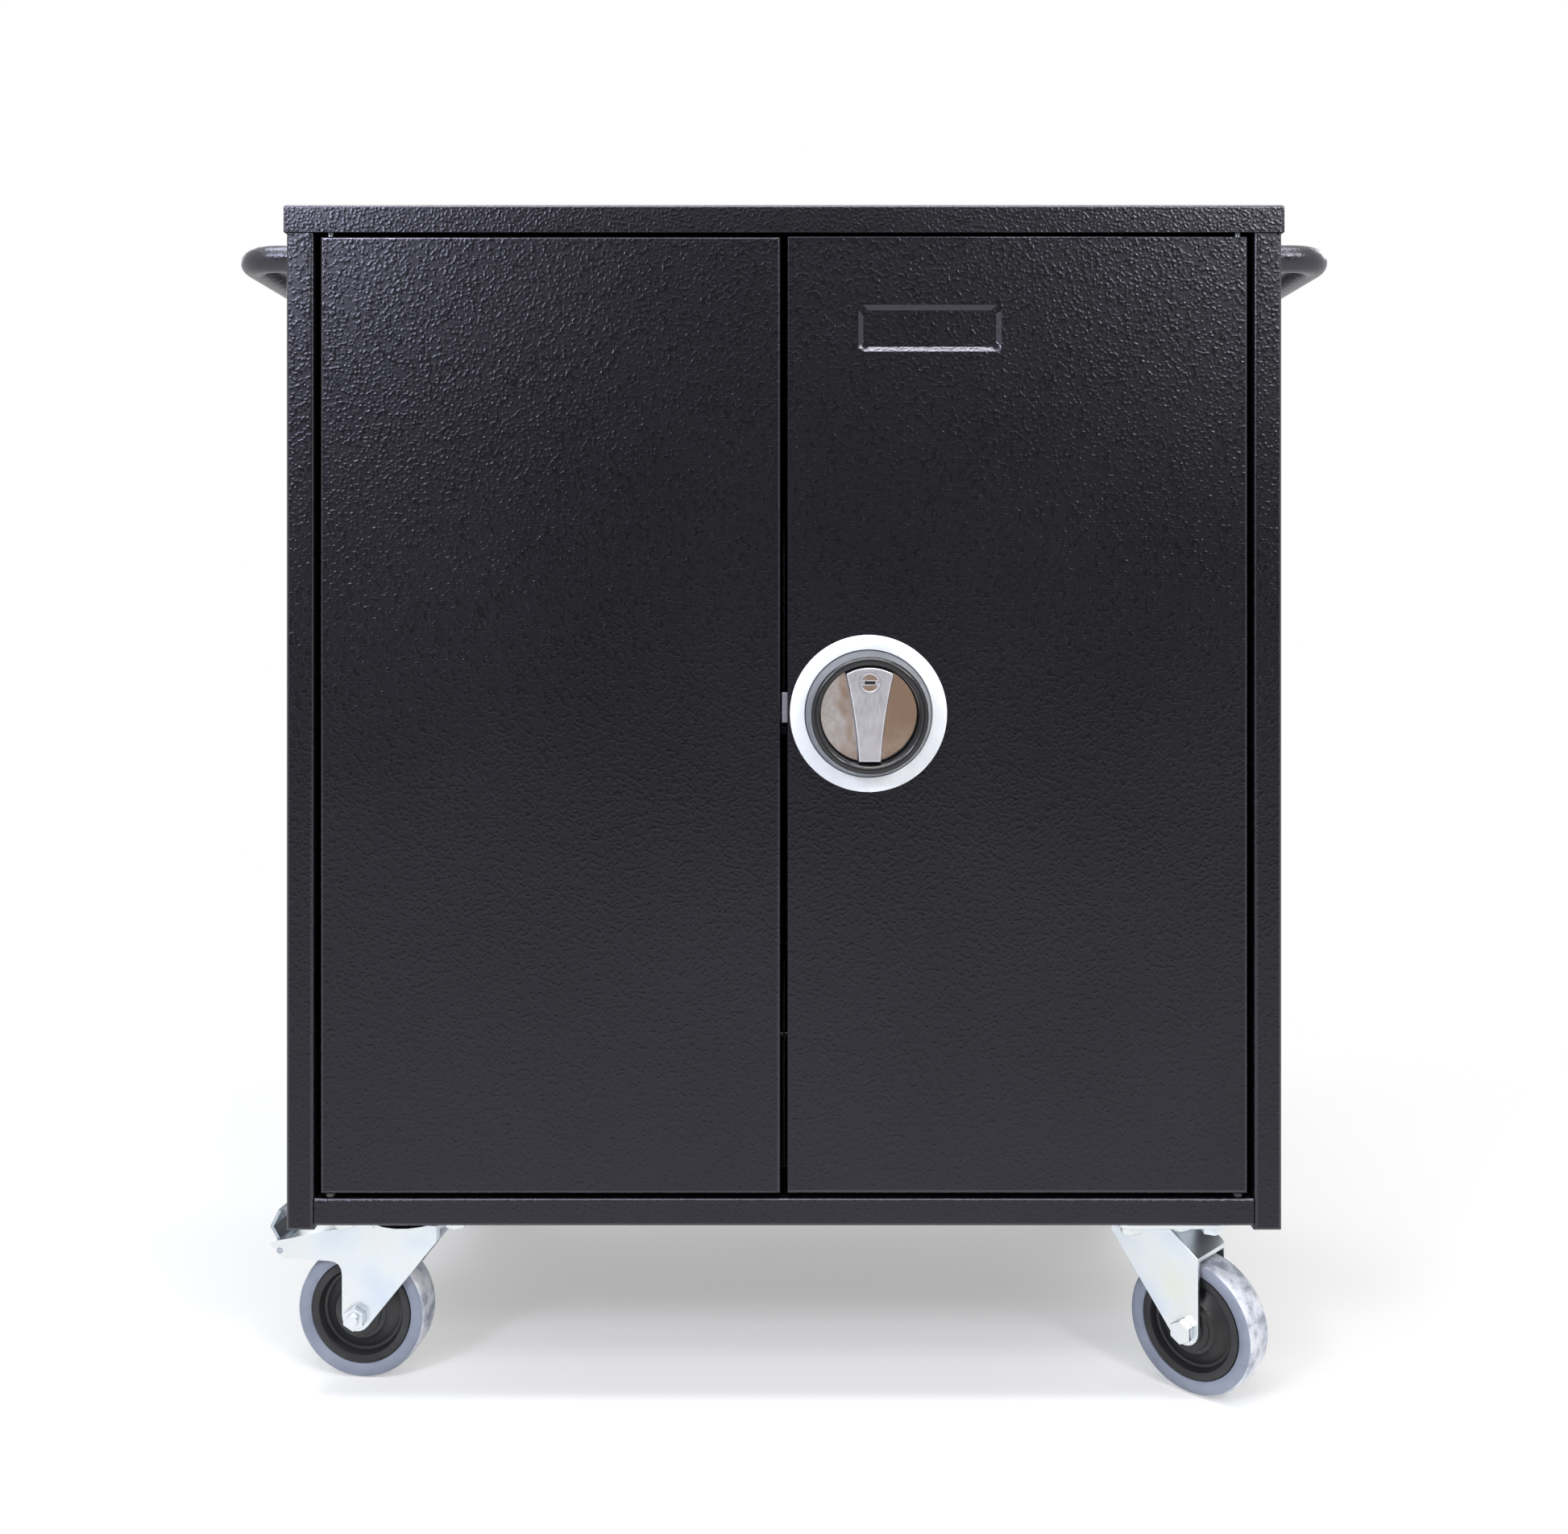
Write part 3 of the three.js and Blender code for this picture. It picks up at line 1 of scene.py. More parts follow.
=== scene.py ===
import json
import math
import bpy
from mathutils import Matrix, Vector


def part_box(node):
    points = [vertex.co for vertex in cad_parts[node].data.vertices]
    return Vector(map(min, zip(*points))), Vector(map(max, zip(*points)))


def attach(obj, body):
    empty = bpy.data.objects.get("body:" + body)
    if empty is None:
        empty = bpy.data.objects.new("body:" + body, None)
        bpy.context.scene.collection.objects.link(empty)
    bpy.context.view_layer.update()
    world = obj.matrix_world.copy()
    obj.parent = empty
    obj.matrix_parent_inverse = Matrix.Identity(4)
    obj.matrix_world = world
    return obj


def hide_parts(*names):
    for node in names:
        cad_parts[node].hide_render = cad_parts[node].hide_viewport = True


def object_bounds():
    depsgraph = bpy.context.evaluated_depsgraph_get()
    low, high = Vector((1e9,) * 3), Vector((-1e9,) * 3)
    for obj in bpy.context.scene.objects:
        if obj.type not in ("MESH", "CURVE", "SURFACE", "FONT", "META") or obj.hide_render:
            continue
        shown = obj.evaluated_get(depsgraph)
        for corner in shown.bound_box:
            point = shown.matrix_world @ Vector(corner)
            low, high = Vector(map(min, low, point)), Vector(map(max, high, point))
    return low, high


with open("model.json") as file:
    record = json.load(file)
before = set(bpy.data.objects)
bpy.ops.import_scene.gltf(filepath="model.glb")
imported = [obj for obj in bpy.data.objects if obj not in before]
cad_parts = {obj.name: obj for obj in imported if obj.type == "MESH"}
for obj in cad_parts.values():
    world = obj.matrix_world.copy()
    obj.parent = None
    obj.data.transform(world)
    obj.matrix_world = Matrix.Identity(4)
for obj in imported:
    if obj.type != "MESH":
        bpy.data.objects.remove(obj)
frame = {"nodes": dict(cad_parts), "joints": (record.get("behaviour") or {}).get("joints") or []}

solid_low, solid_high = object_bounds()
scene = bpy.context.scene
MM = 0.001


# Cabinet shell: lid, sides, base, back, header and shelf.
# Each is one steel sheet, punched flat, folded on a press brake and spot-welded to the next.
# All carry one near-black powder coat, baked to fine pips that catch the light and shinier on the bends.
SHEET_EDGE = 0.35 * MM
FOLD_RADIUS = 3.0 * MM
FOLD_STEPS = 4
MERGE_GAP = 1e-6
PLANE_GAP = 1e-5
FLAT_ANGLE = math.radians(0.5)
SHARP_ANGLE = 30.0
SMOOTH_ANGLE = math.radians(50)
COAT_DARK = (0.0032, 0.0031, 0.0038, 1)
COAT_LIGHT = (0.0056, 0.0054, 0.0066, 1)
COAT_DRIFT = 5.0
COAT_GRAIN = 380
COAT_GLOSS = 0.47
BEND_GLOSS = 0.8
PIP_FOOT = 0.42
PIP_TOP = 0.78
COAT_RELIEF = 0.00019
BEND_RELIEF = 0.0001
COAT_SHEEN = (0.86, 0.84, 1.0, 1)
FLAT_NORMAL = 0.995
LIP_REACH = 3.0 * MM
LIP_DROP = 2.5 * MM


def new_surface(name):
    surface = bpy.data.materials.new(name)
    surface.use_nodes = True
    tree = surface.node_tree
    shader = tree.nodes["Principled BSDF"]
    place = tree.nodes.new("ShaderNodeTexCoord").outputs["Object"]
    return surface, tree, shader, place


def noise(tree, place, scale, detail=2.0, roughness=0.5):
    node = tree.nodes.new("ShaderNodeTexNoise")
    node.inputs["Scale"].default_value = scale
    node.inputs["Detail"].default_value = detail
    node.inputs["Roughness"].default_value = roughness
    tree.links.new(place, node.inputs["Vector"])
    return node.outputs["Fac"]


def ramp(tree, factor, *stops):
    node = tree.nodes.new("ShaderNodeValToRGB")
    bands = node.color_ramp.elements
    while len(bands) < len(stops):
        bands.new(0.5)
    for band, (position, colour) in zip(bands, stops):
        band.position = position
        band.color = colour
    tree.links.new(factor, node.inputs["Fac"])
    return node.outputs["Color"]


def spread(tree, factor, low, high, low_from=0.0, high_from=1.0):
    node = tree.nodes.new("ShaderNodeMapRange")
    node.inputs["From Min"].default_value = low_from
    node.inputs["From Max"].default_value = high_from
    node.inputs["To Min"].default_value = low
    node.inputs["To Max"].default_value = high
    tree.links.new(factor, node.inputs["Value"])
    return node.outputs["Result"]


def relief(tree, shader, height, distance):
    node = tree.nodes.new("ShaderNodeBump")
    node.inputs["Distance"].default_value = distance
    node.inputs["Strength"].default_value = 1.0
    tree.links.new(height, node.inputs["Height"])
    tree.links.new(node.outputs["Normal"], shader.inputs["Normal"])


def powder_coat(name, height, smooth, rough, gloss):
    surface, tree, shader, place = new_surface(name)
    drift = noise(tree, place, COAT_DRIFT, 3.0)
    pip = spread(tree, noise(tree, place, COAT_GRAIN, 0.0), 0.0, 1.0, PIP_FOOT, PIP_TOP)
    tree.links.new(
        ramp(tree, drift, (0.3, COAT_DARK), (0.7, COAT_LIGHT)), shader.inputs["Base Color"])
    tree.links.new(spread(tree, pip, rough, smooth), shader.inputs["Roughness"])
    shader.inputs["Specular IOR Level"].default_value = gloss
    shader.inputs["Specular Tint"].default_value = COAT_SHEEN
    relief(tree, shader, pip, height)
    return surface


def only(piece):
    bpy.ops.object.select_all(action="DESELECT")
    piece.select_set(True)
    bpy.context.view_layer.objects.active = piece


def edit(piece):
    only(piece)
    bpy.ops.object.mode_set(mode="EDIT")
    bpy.ops.mesh.select_mode(type="EDGE")


def done():
    bpy.ops.object.mode_set(mode="OBJECT")


def settle(piece, body, slot, surfaces, *nodes):
    piece.data.materials.clear()
    for surface in surfaces:
        piece.data.materials.append(surface)
    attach(piece, body)
    if nodes:
        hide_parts(*nodes)
    return piece


def copied(node_name, name):
    piece = bpy.data.objects.new(name, frame["nodes"][node_name].data.copy())
    scene.collection.objects.link(piece)
    edit(piece)
    bpy.ops.mesh.select_all(action="SELECT")
    bpy.ops.mesh.customdata_custom_splitnormals_clear()
    bpy.ops.mesh.remove_doubles(threshold=MERGE_GAP)
    bpy.ops.mesh.dissolve_limited(angle_limit=FLAT_ANGLE)
    bpy.ops.mesh.select_all(action="DESELECT")
    done()
    return piece


def pick_edges(piece, chosen):
    edit(piece)
    bpy.ops.mesh.select_all(action="DESELECT")
    done()
    corners = piece.data.vertices
    for edge in piece.data.edges:
        first, second = (corners[i].co for i in edge.vertices)
        edge.select = chosen(first, second)
    edit(piece)


def round_edges(piece, chosen, radius, segments=FOLD_STEPS):
    pick_edges(piece, chosen)
    bpy.ops.mesh.bevel(offset=radius, segments=segments, affect="EDGES", clamp_overlap=True)
    done()


def on_plane(first, second, axis, value):
    return abs(first[axis] - value) < PLANE_GAP and abs(second[axis] - value) < PLANE_GAP


def soften(piece, width, segments=2, sharp=SHARP_ANGLE):
    only(piece)
    bevel = piece.modifiers.new("edge", "BEVEL")
    bevel.width = width
    bevel.segments = segments
    bevel.limit_method = "ANGLE"
    bevel.angle_limit = math.radians(sharp)
    bpy.ops.object.modifier_apply(modifier=bevel.name)
    bpy.ops.object.shade_smooth_by_angle(angle=SMOOTH_ANGLE)
    flats = piece.modifiers.new("flats", "WEIGHTED_NORMAL")
    flats.keep_sharp = True
    bpy.ops.object.modifier_apply(modifier=flats.name)


def folded_sheet(node_name, body, axis, side, pressed=None):
    piece = copied(node_name, node_name + "_sheet")
    if pressed:
        pressed(piece)
    low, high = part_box(node_name)
    face = (low, high)[side][axis]
    others = [a for a in range(3) if a != axis]
    round_edges(piece, lambda first, second: on_plane(first, second, axis, face) and any(
        on_plane(first, second, a, end[a]) for a in others for end in (low, high)), FOLD_RADIUS)
    soften(piece, SHEET_EDGE)
    settle(piece, body, "powder_coat", [coat, bend_coat], node_name)
    for part in piece.data.polygons:
        part.material_index = 1 if max(abs(n) for n in part.normal) < FLAT_NORMAL else 0


def lowered_lips(piece):
    hood_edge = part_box("back_panel")[1].y - LIP_REACH
    pick_edges(piece, lambda first, second: min(first.y, second.y) > hood_edge)
    bpy.ops.transform.translate(value=(0, 0, -LIP_DROP))
    done()


coat = powder_coat("powder_coat", COAT_RELIEF, 0.23, 0.31, COAT_GLOSS)
bend_coat = powder_coat("bend_coat", BEND_RELIEF, 0.16, 0.26, BEND_GLOSS)
folded_sheet("base_tray", "cabinet", 1, 0)
folded_sheet("left_side_panel", "cabinet", 1, 0)
folded_sheet("right_side_panel", "cabinet", 1, 0)
folded_sheet("header_rail", "cabinet", 1, 0)
folded_sheet("middle_shelf", "cabinet", 2, 1)
folded_sheet("lid", "cabinet", 2, 1)
folded_sheet("back_panel", "cabinet", 1, 1, lowered_lips)


# Caster plates and the bolts that hold them.
# Pressed steel plates, bright zinc plated with a bluish tint, each under the base on four hex bolts.
# Head and washer are one cold-formed piece.
ZINC_BLUE = (0.62, 0.70, 0.80, 1)
ZINC_PALE = (0.72, 0.76, 0.79, 1)
ZINC_STRAW = (0.72, 0.73, 0.67, 1)
BOLT_FLATS = 17 * MM
BOLT_HEAD = 6 * MM
WASHER_DIAMETER = 21 * MM
WASHER_THICK = 1.6 * MM
WASHER_SIDES = 40
HEAD_CHAMFER = 0.9 * MM
WASHER_EDGE = 0.4 * MM
PLATE_EDGE = 0.6 * MM
ZINC_CLOUD = 16.0
ZINC_SPECK = 900.0
ZINC_RELIEF = 0.00004
NOISE_SPAN = (0.3, 0.7)
BOLT_LONG = 102 * MM
BOLT_SHORT = 74 * MM
CORNERS = ("front_left", "front_right", "rear_right", "rear_left")


def plated(name, smooth, rough, *tints):
    surface, tree, shader, place = new_surface(name)
    cloud = noise(tree, place, ZINC_CLOUD, 3.0)
    speck = noise(tree, place, ZINC_SPECK)
    bands = [(0.3 + 0.4 * i / (len(tints) - 1), tint) for i, tint in enumerate(tints)]
    tree.links.new(ramp(tree, cloud, *bands), shader.inputs["Base Color"])
    tree.links.new(spread(tree, cloud, rough, smooth, *NOISE_SPAN), shader.inputs["Roughness"])
    shader.inputs["Metallic"].default_value = 1.0
    relief(tree, shader, speck, ZINC_RELIEF)
    return surface


def hex_bolt(x, y, top):
    bpy.ops.object.select_all(action="DESELECT")
    bpy.ops.mesh.primitive_cylinder_add(
        vertices=6, radius=BOLT_FLATS / math.sqrt(3), depth=BOLT_HEAD,
        location=(x, y, top - WASHER_THICK - BOLT_HEAD / 2))
    head = bpy.context.object
    bpy.ops.object.transform_apply(location=True, rotation=True, scale=True)
    soften(head, HEAD_CHAMFER, 3)
    bpy.ops.object.select_all(action="DESELECT")
    bpy.ops.mesh.primitive_cylinder_add(
        vertices=WASHER_SIDES, radius=WASHER_DIAMETER / 2, depth=WASHER_THICK,
        location=(x, y, top - WASHER_THICK / 2))
    washer = bpy.context.object
    bpy.ops.object.transform_apply(location=True, rotation=True, scale=True)
    soften(washer, WASHER_EDGE)
    return [head, washer]


def joined(pieces, name):
    bpy.ops.object.select_all(action="DESELECT")
    for piece in pieces:
        piece.select_set(True)
    bpy.context.view_layer.objects.active = pieces[0]
    bpy.ops.object.join()
    whole = bpy.context.object
    whole.name = name
    whole.data.name = name
    return whole


zinc = plated("caster_zinc", 0.22, 0.36, ZINC_BLUE, ZINC_PALE, ZINC_STRAW)
for corner in CORNERS:
    node_name = corner + "_caster_plate"
    plate = copied(node_name, corner + "_plate")
    soften(plate, PLATE_EDGE)
    settle(plate, "cabinet", "caster_zinc", [zinc], node_name)
    low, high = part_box(node_name)
    middle = (low + high) / 2
    lengthways = high.x - low.x > high.y - low.y
    across = (BOLT_LONG if lengthways else BOLT_SHORT) / 2
    along = (BOLT_SHORT if lengthways else BOLT_LONG) / 2
    bolts = [
        part for sx in (-1, 1) for sy in (-1, 1)
        for part in hex_bolt(middle.x + sx * across, middle.y + sy * along, low.z)]
    settle(joined(bolts, corner + "_plate_bolts"), "cabinet", "caster_zinc", [zinc])


# Swivel bearings: a double ball race between plate and fork, closed by a pressed dark steel shell.
# The king pin's head shows under the fork's crown.
STEEL_DARK = (0.040, 0.040, 0.043, 1)
STEEL_WORN = (0.115, 0.115, 0.118, 1)
PIN_HEAD = 13 * MM
PIN_RADIUS = 8 * MM
PIN_HEAD_HEIGHT = 7 * MM
PIN_CHAMFER = 1.2 * MM
RACE_HEIGHT = 8.8
RACE_SHELL = [
    (3.4, 0.0), (1.2, 0.8), (0.3, 2.6), (0.9, 3.9), (0.9, 4.9), (0.3, 6.2), (1.2, 8.0), (3.4, RACE_HEIGHT)]
TURNED_ANGLE = math.radians(32)
BEARING_STEPS = 72


def turned(name, profile, centre, axis, start, steps):
    centre, axis, start = Vector(centre), Vector(axis).normalized(), Vector(start).normalized()
    points = [centre + start * radius + axis * along for radius, along in profile]
    mesh = bpy.data.meshes.new(name)
    mesh.from_pydata(points, [(i, i + 1) for i in range(len(points) - 1)], [])
    piece = bpy.data.objects.new(name, mesh)
    scene.collection.objects.link(piece)
    edit(piece)
    bpy.ops.mesh.select_all(action="SELECT")
    bpy.ops.mesh.spin(steps=steps, angle=2 * math.pi, center=centre, axis=axis)
    bpy.ops.mesh.select_all(action="SELECT")
    bpy.ops.mesh.remove_doubles(threshold=MERGE_GAP)
    bpy.ops.mesh.normals_make_consistent(inside=False)
    done()
    only(piece)
    bpy.ops.object.shade_smooth_by_angle(angle=TURNED_ANGLE)
    return piece


dark_steel = plated("dark_steel", 0.34, 0.52, STEEL_DARK, STEEL_WORN)
for corner in CORNERS:
    node_name = corner + "_swivel_bearing"
    low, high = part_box(node_name)
    axis_point = ((low.x + high.x) / 2, (low.y + high.y) / 2, 0)
    shell = (high.x - low.x) / 2
    race = high.z - RACE_HEIGHT * MM
    head_top = low.z + PIN_HEAD_HEIGHT
    bearing = turned(corner + "_bearing", [
        (0, low.z), (PIN_HEAD - PIN_CHAMFER, low.z), (PIN_HEAD, low.z + PIN_CHAMFER),
        (PIN_HEAD, head_top), (PIN_RADIUS, head_top), (PIN_RADIUS, race),
        *[(shell - inset * MM, race + rise * MM) for inset, rise in RACE_SHELL],
        (0, high.z)], axis_point, (0, 0, 1), (1, 0, 0), BEARING_STEPS)
    settle(bearing, "cabinet", "dark_steel", [dark_steel], node_name)


# Blind rivets: aluminium domes with a hollow middle, blackened, in a row up each rear flange.
# They hold the back panel against the side panels.
RIVET_HEAD = 4.6 * MM
RIVET_HEIGHT = 1.5 * MM
RIVET_HOLE = 1.5 * MM
RIVET_LIP = 0.1 * MM
RIVET_COUNT = 7
RIVET_END = 60 * MM
RIVET_STEPS = 28
REAR_FLANGE = 20 * MM
rivets = []
for node_name, side in (("left_side_panel", -1), ("right_side_panel", 1)):
    low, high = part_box(node_name)
    across = low.x + REAR_FLANGE / 2 if side < 0 else high.x - REAR_FLANGE / 2
    bottom, top = low.z + RIVET_END, high.z - RIVET_END
    for i in range(RIVET_COUNT):
        level = bottom + (top - bottom) * i / (RIVET_COUNT - 1)
        rivets.append(turned(f"{node_name}_rivet_{i}", [
            (0, -0.4 * RIVET_HEIGHT), (RIVET_HOLE, -0.4 * RIVET_HEIGHT),
            (RIVET_HOLE, RIVET_HEIGHT - RIVET_LIP), (RIVET_HOLE + 3 * RIVET_LIP, RIVET_HEIGHT),
            (RIVET_HEAD * 0.6, RIVET_HEIGHT * 0.86), (RIVET_HEAD * 0.86, RIVET_HEIGHT * 0.5),
            (RIVET_HEAD, 0), (0, -0.5 * RIVET_HEIGHT)],
            (across, high.y, level), (0, 1, 0), (0, 0, 1), RIVET_STEPS))
settle(joined(rivets, "back_rivets"), "cabinet", "dark_steel", [dark_steel])


# Forks and axle bolts: 4 mm sheet pressed into two legs and a dished crown, zinc plated.
# A hex bolt and nut clamp the axle through the leg ends.
FORK_EDGE = 0.9 * MM
AXLE_EDGE = 0.7 * MM
PRESSED_ANGLE = 36.0
ROUND_ANGLE = 45.0
for corner in CORNERS:
    fork = copied(corner + "_fork", corner + "_fork_pressing")
    soften(fork, FORK_EDGE, 3, PRESSED_ANGLE)
    settle(fork, corner + "_swivel", "caster_zinc", [zinc], corner + "_fork")
    bolt = copied(corner + "_axle_bolt", corner + "_axle")
    soften(bolt, AXLE_EDGE, 2, ROUND_ANGLE)
    settle(bolt, corner + "_swivel", "caster_zinc", [zinc], corner + "_axle_bolt")


# Wheels: a black moulded centre with stepped rings, and a blue-grey rubber tyre bonded round it.
# The tread is scuffed and a little dirty where it has rolled.
HUB_BLACK = (0.0095, 0.0095, 0.0105, 1)
HUB_WORN = (0.022, 0.022, 0.024, 1)
RUBBER_DEEP = (0.195, 0.222, 0.290, 1)
RUBBER_PALE = (0.265, 0.292, 0.362, 1)
TREAD_CLEAN = (0.60, 0.62, 0.68, 1)
TREAD_DUST = (0.78, 0.78, 0.81, 1)
TREAD_DIRT = (0.26, 0.25, 0.25, 1)
HUB_SIDE = [
    (6.3, 21.5), (11.6, 21.5), (12.3, 21.0), (12.6, 19.9), (13.4, 19.4), (19.2, 19.4), (20.2, 18.9),
    (20.8, 17.6), (23.4, 16.2), (24.6, 15.9), (25.4, 14.6), (30.5, 11.4), (36.0, 8.9), (38.2, 9.5),
    (40.4, 14.9), (41.2, 16.1), (42.4, 16.5), (46.6, 16.5), (47.7, 16.1), (48.2, 15.2)]
TYRE_SIDE = [
    (48.5, 14.6), (49.0, 15.9), (50.4, 16.9), (53.0, 17.7), (56.4, 18.0), (58.8, 17.5), (60.3, 16.4),
    (61.2, 14.8), (61.7, 12.6), (61.93, 9.0), (61.96, 4.0)]
TREAD_START = 60.2 * MM
HUB_STEPS = 96
TYRE_STEPS = 128
MOULD_CLOUD = 24.0
RUBBER_CLOUD = 30.0
RUBBER_GRAIN = 700.0
RUBBER_RELIEF = 0.00008
TREAD_CLOUD = 42.0
TREAD_GRAIN = 420.0
TREAD_RELIEF = 0.00025
TREAD_LUMP = 1.4


def added(tree, first, second, share):
    node = tree.nodes.new("ShaderNodeMath")
    node.operation = "MULTIPLY_ADD"
    node.inputs[1].default_value = share
    tree.links.new(second, node.inputs[0])
    tree.links.new(first, node.inputs[2])
    return node.outputs["Value"]


def both_sides(side):
    profile = [(r * MM, -w * MM) for r, w in side] + [(r * MM, w * MM) for r, w in reversed(side)]
    return profile + profile[:1]


def moulded(name, dark, worn, smooth, rough, grain_scale, grain_height):
    surface, tree, shader, place = new_surface(name)
    cloud = noise(tree, place, MOULD_CLOUD, 4.0, 0.6)
    grain = noise(tree, place, grain_scale, 2.0)
    tree.links.new(ramp(tree, cloud, (0.35, dark), (0.72, worn)), shader.inputs["Base Color"])
    tree.links.new(spread(tree, cloud, rough, smooth, *NOISE_SPAN), shader.inputs["Roughness"])
    relief(tree, shader, grain, grain_height)
    return surface


def tyre_rubber():
    surface, tree, shader, place = new_surface("tyre_rubber")
    cloud = noise(tree, place, RUBBER_CLOUD, 5.0, 0.62)
    grain = noise(tree, place, RUBBER_GRAIN)
    tree.links.new(
        ramp(tree, cloud, (0.34, RUBBER_DEEP), (0.66, RUBBER_PALE)), shader.inputs["Base Color"])
    tree.links.new(spread(tree, cloud, 0.42, 0.62, *NOISE_SPAN), shader.inputs["Roughness"])
    relief(tree, shader, grain, RUBBER_RELIEF)
    return surface


def scuffed_tread():
    surface, tree, shader, place = new_surface("scuffed_tread")
    cloud = noise(tree, place, TREAD_CLOUD, 6.0, 0.68)
    grain = noise(tree, place, TREAD_GRAIN, 3.0)
    tree.links.new(ramp(
        tree, cloud, (0.30, TREAD_DIRT), (0.40, RUBBER_PALE), (0.52, TREAD_CLEAN), (0.68, TREAD_DUST)),
        shader.inputs["Base Color"])
    tree.links.new(spread(tree, cloud, 0.55, 0.8, *NOISE_SPAN), shader.inputs["Roughness"])
    relief(tree, shader, added(tree, grain, cloud, TREAD_LUMP), TREAD_RELIEF)
    return surface


hub_plastic = moulded("hub_plastic", HUB_BLACK, HUB_WORN, 0.32, 0.5, 800.0, 0.00005)
rubber = tyre_rubber()
tread = scuffed_tread()
spin = {joint["child"]: joint for joint in frame["joints"]}
for corner in CORNERS:
    body = corner + "_wheel"
    centre = Vector(spin[body]["pos_m"])
    axle = Vector(spin[body]["axis"])
    hub = turned(corner + "_hub", both_sides(HUB_SIDE), centre, axle, (0, 0, -1), HUB_STEPS)
    settle(hub, body, "hub_plastic", [hub_plastic], corner + "_wheel_hub")
    tyre = turned(corner + "_tyre_ring", both_sides(TYRE_SIDE), centre, axle, (0, 0, -1), TYRE_STEPS)
    settle(tyre, body, "tyre_rubber", [rubber, tread], corner + "_tyre")
    for face in tyre.data.polygons:
        out = face.center - centre
        radius = (out - axle * out.dot(axle)).length
        face.material_index = 1 if radius > TREAD_START else 0


# Brake pedals: folded spring-steel leaves on a pin through the fork's ears.
# Bright zinc rubbed grey by shoes.
PEDAL_GREY = (0.30, 0.34, 0.40, 1)
PEDAL_PALE = (0.52, 0.57, 0.63, 1)
PEDAL_EDGE = 0.5 * MM
pedal_steel = plated("pedal_steel", 0.2, 0.34, PEDAL_GREY, PEDAL_PALE)
for corner in ("front_left", "rear_right"):
    pedal = copied(corner + "_brake_pedal", corner + "_pedal")
    soften(pedal, PEDAL_EDGE, 2, PRESSED_ANGLE)
    settle(pedal, corner + "_brake", "dark_steel", [pedal_steel], corner + "_brake_pedal")


# Divider racks: two moulded grey combs, one on the base and one on the shelf, that stand laptops on edge.
# The cable trunking up the left rear corner is the same plastic.
GREY_DEEP = (0.095, 0.098, 0.108, 1)
GREY_WORN = (0.125, 0.128, 0.140, 1)
RACK_EDGE = 0.5 * MM
grey_plastic = moulded("grey_plastic", GREY_DEEP, GREY_WORN, 0.42, 0.6, 520.0, 0.00008)
for node_name in ("lower_divider_rack", "upper_divider_rack", "cable_trunking"):
    rack = copied(node_name, node_name + "_moulding")
    soften(rack, RACK_EDGE)
    settle(rack, "cabinet", "grey_plastic", [grey_plastic], node_name)


# Outlet strips and mains inlet: black moulded housings screwed to the back panel.
# The charge timer is a dark painted steel case with cooling grooves.
BLACK_DEEP = (0.010, 0.010, 0.011, 1)
BLACK_WORN = (0.019, 0.019, 0.021, 1)
CASE_DEEP = (0.050, 0.050, 0.053, 1)
CASE_WORN = (0.072, 0.072, 0.076, 1)
HOUSING_EDGE = 0.6 * MM
CASE_EDGE = 0.8 * MM
black_plastic = moulded("black_plastic", BLACK_DEEP, BLACK_WORN, 0.34, 0.55, 620.0, 0.00007)
timer_case = moulded("timer_case", CASE_DEEP, CASE_WORN, 0.4, 0.55, 760.0, 0.00009)
for node_name in ("lower_outlet_strip", "upper_outlet_strip", "mains_inlet"):
    housing = copied(node_name, node_name + "_housing")
    soften(housing, HOUSING_EDGE)
    settle(housing, "cabinet", "black_plastic", [black_plastic], node_name)
timer = copied("charge_timer", "charge_timer_case")
soften(timer, CASE_EDGE)
settle(timer, "cabinet", "timer_case", [timer_case], "charge_timer")


# Push handles: 25 mm steel tube bent to a bow at each side and welded on under the lid.
# They carry the same coat as the shell, glossier on the tube.
HANDLE_BEND = 30 * MM
HANDLE_GLOSS = 0.95
HANDLE_RELIEF = 0.00016
BEND_STEPS = 14
TUBE_ANGLE = math.radians(40)
TUBE_STEPS = 10
WELD_LEG = 3.5 * MM
WELD_ROOT = 0.2 * MM
WELD_STEPS = 48


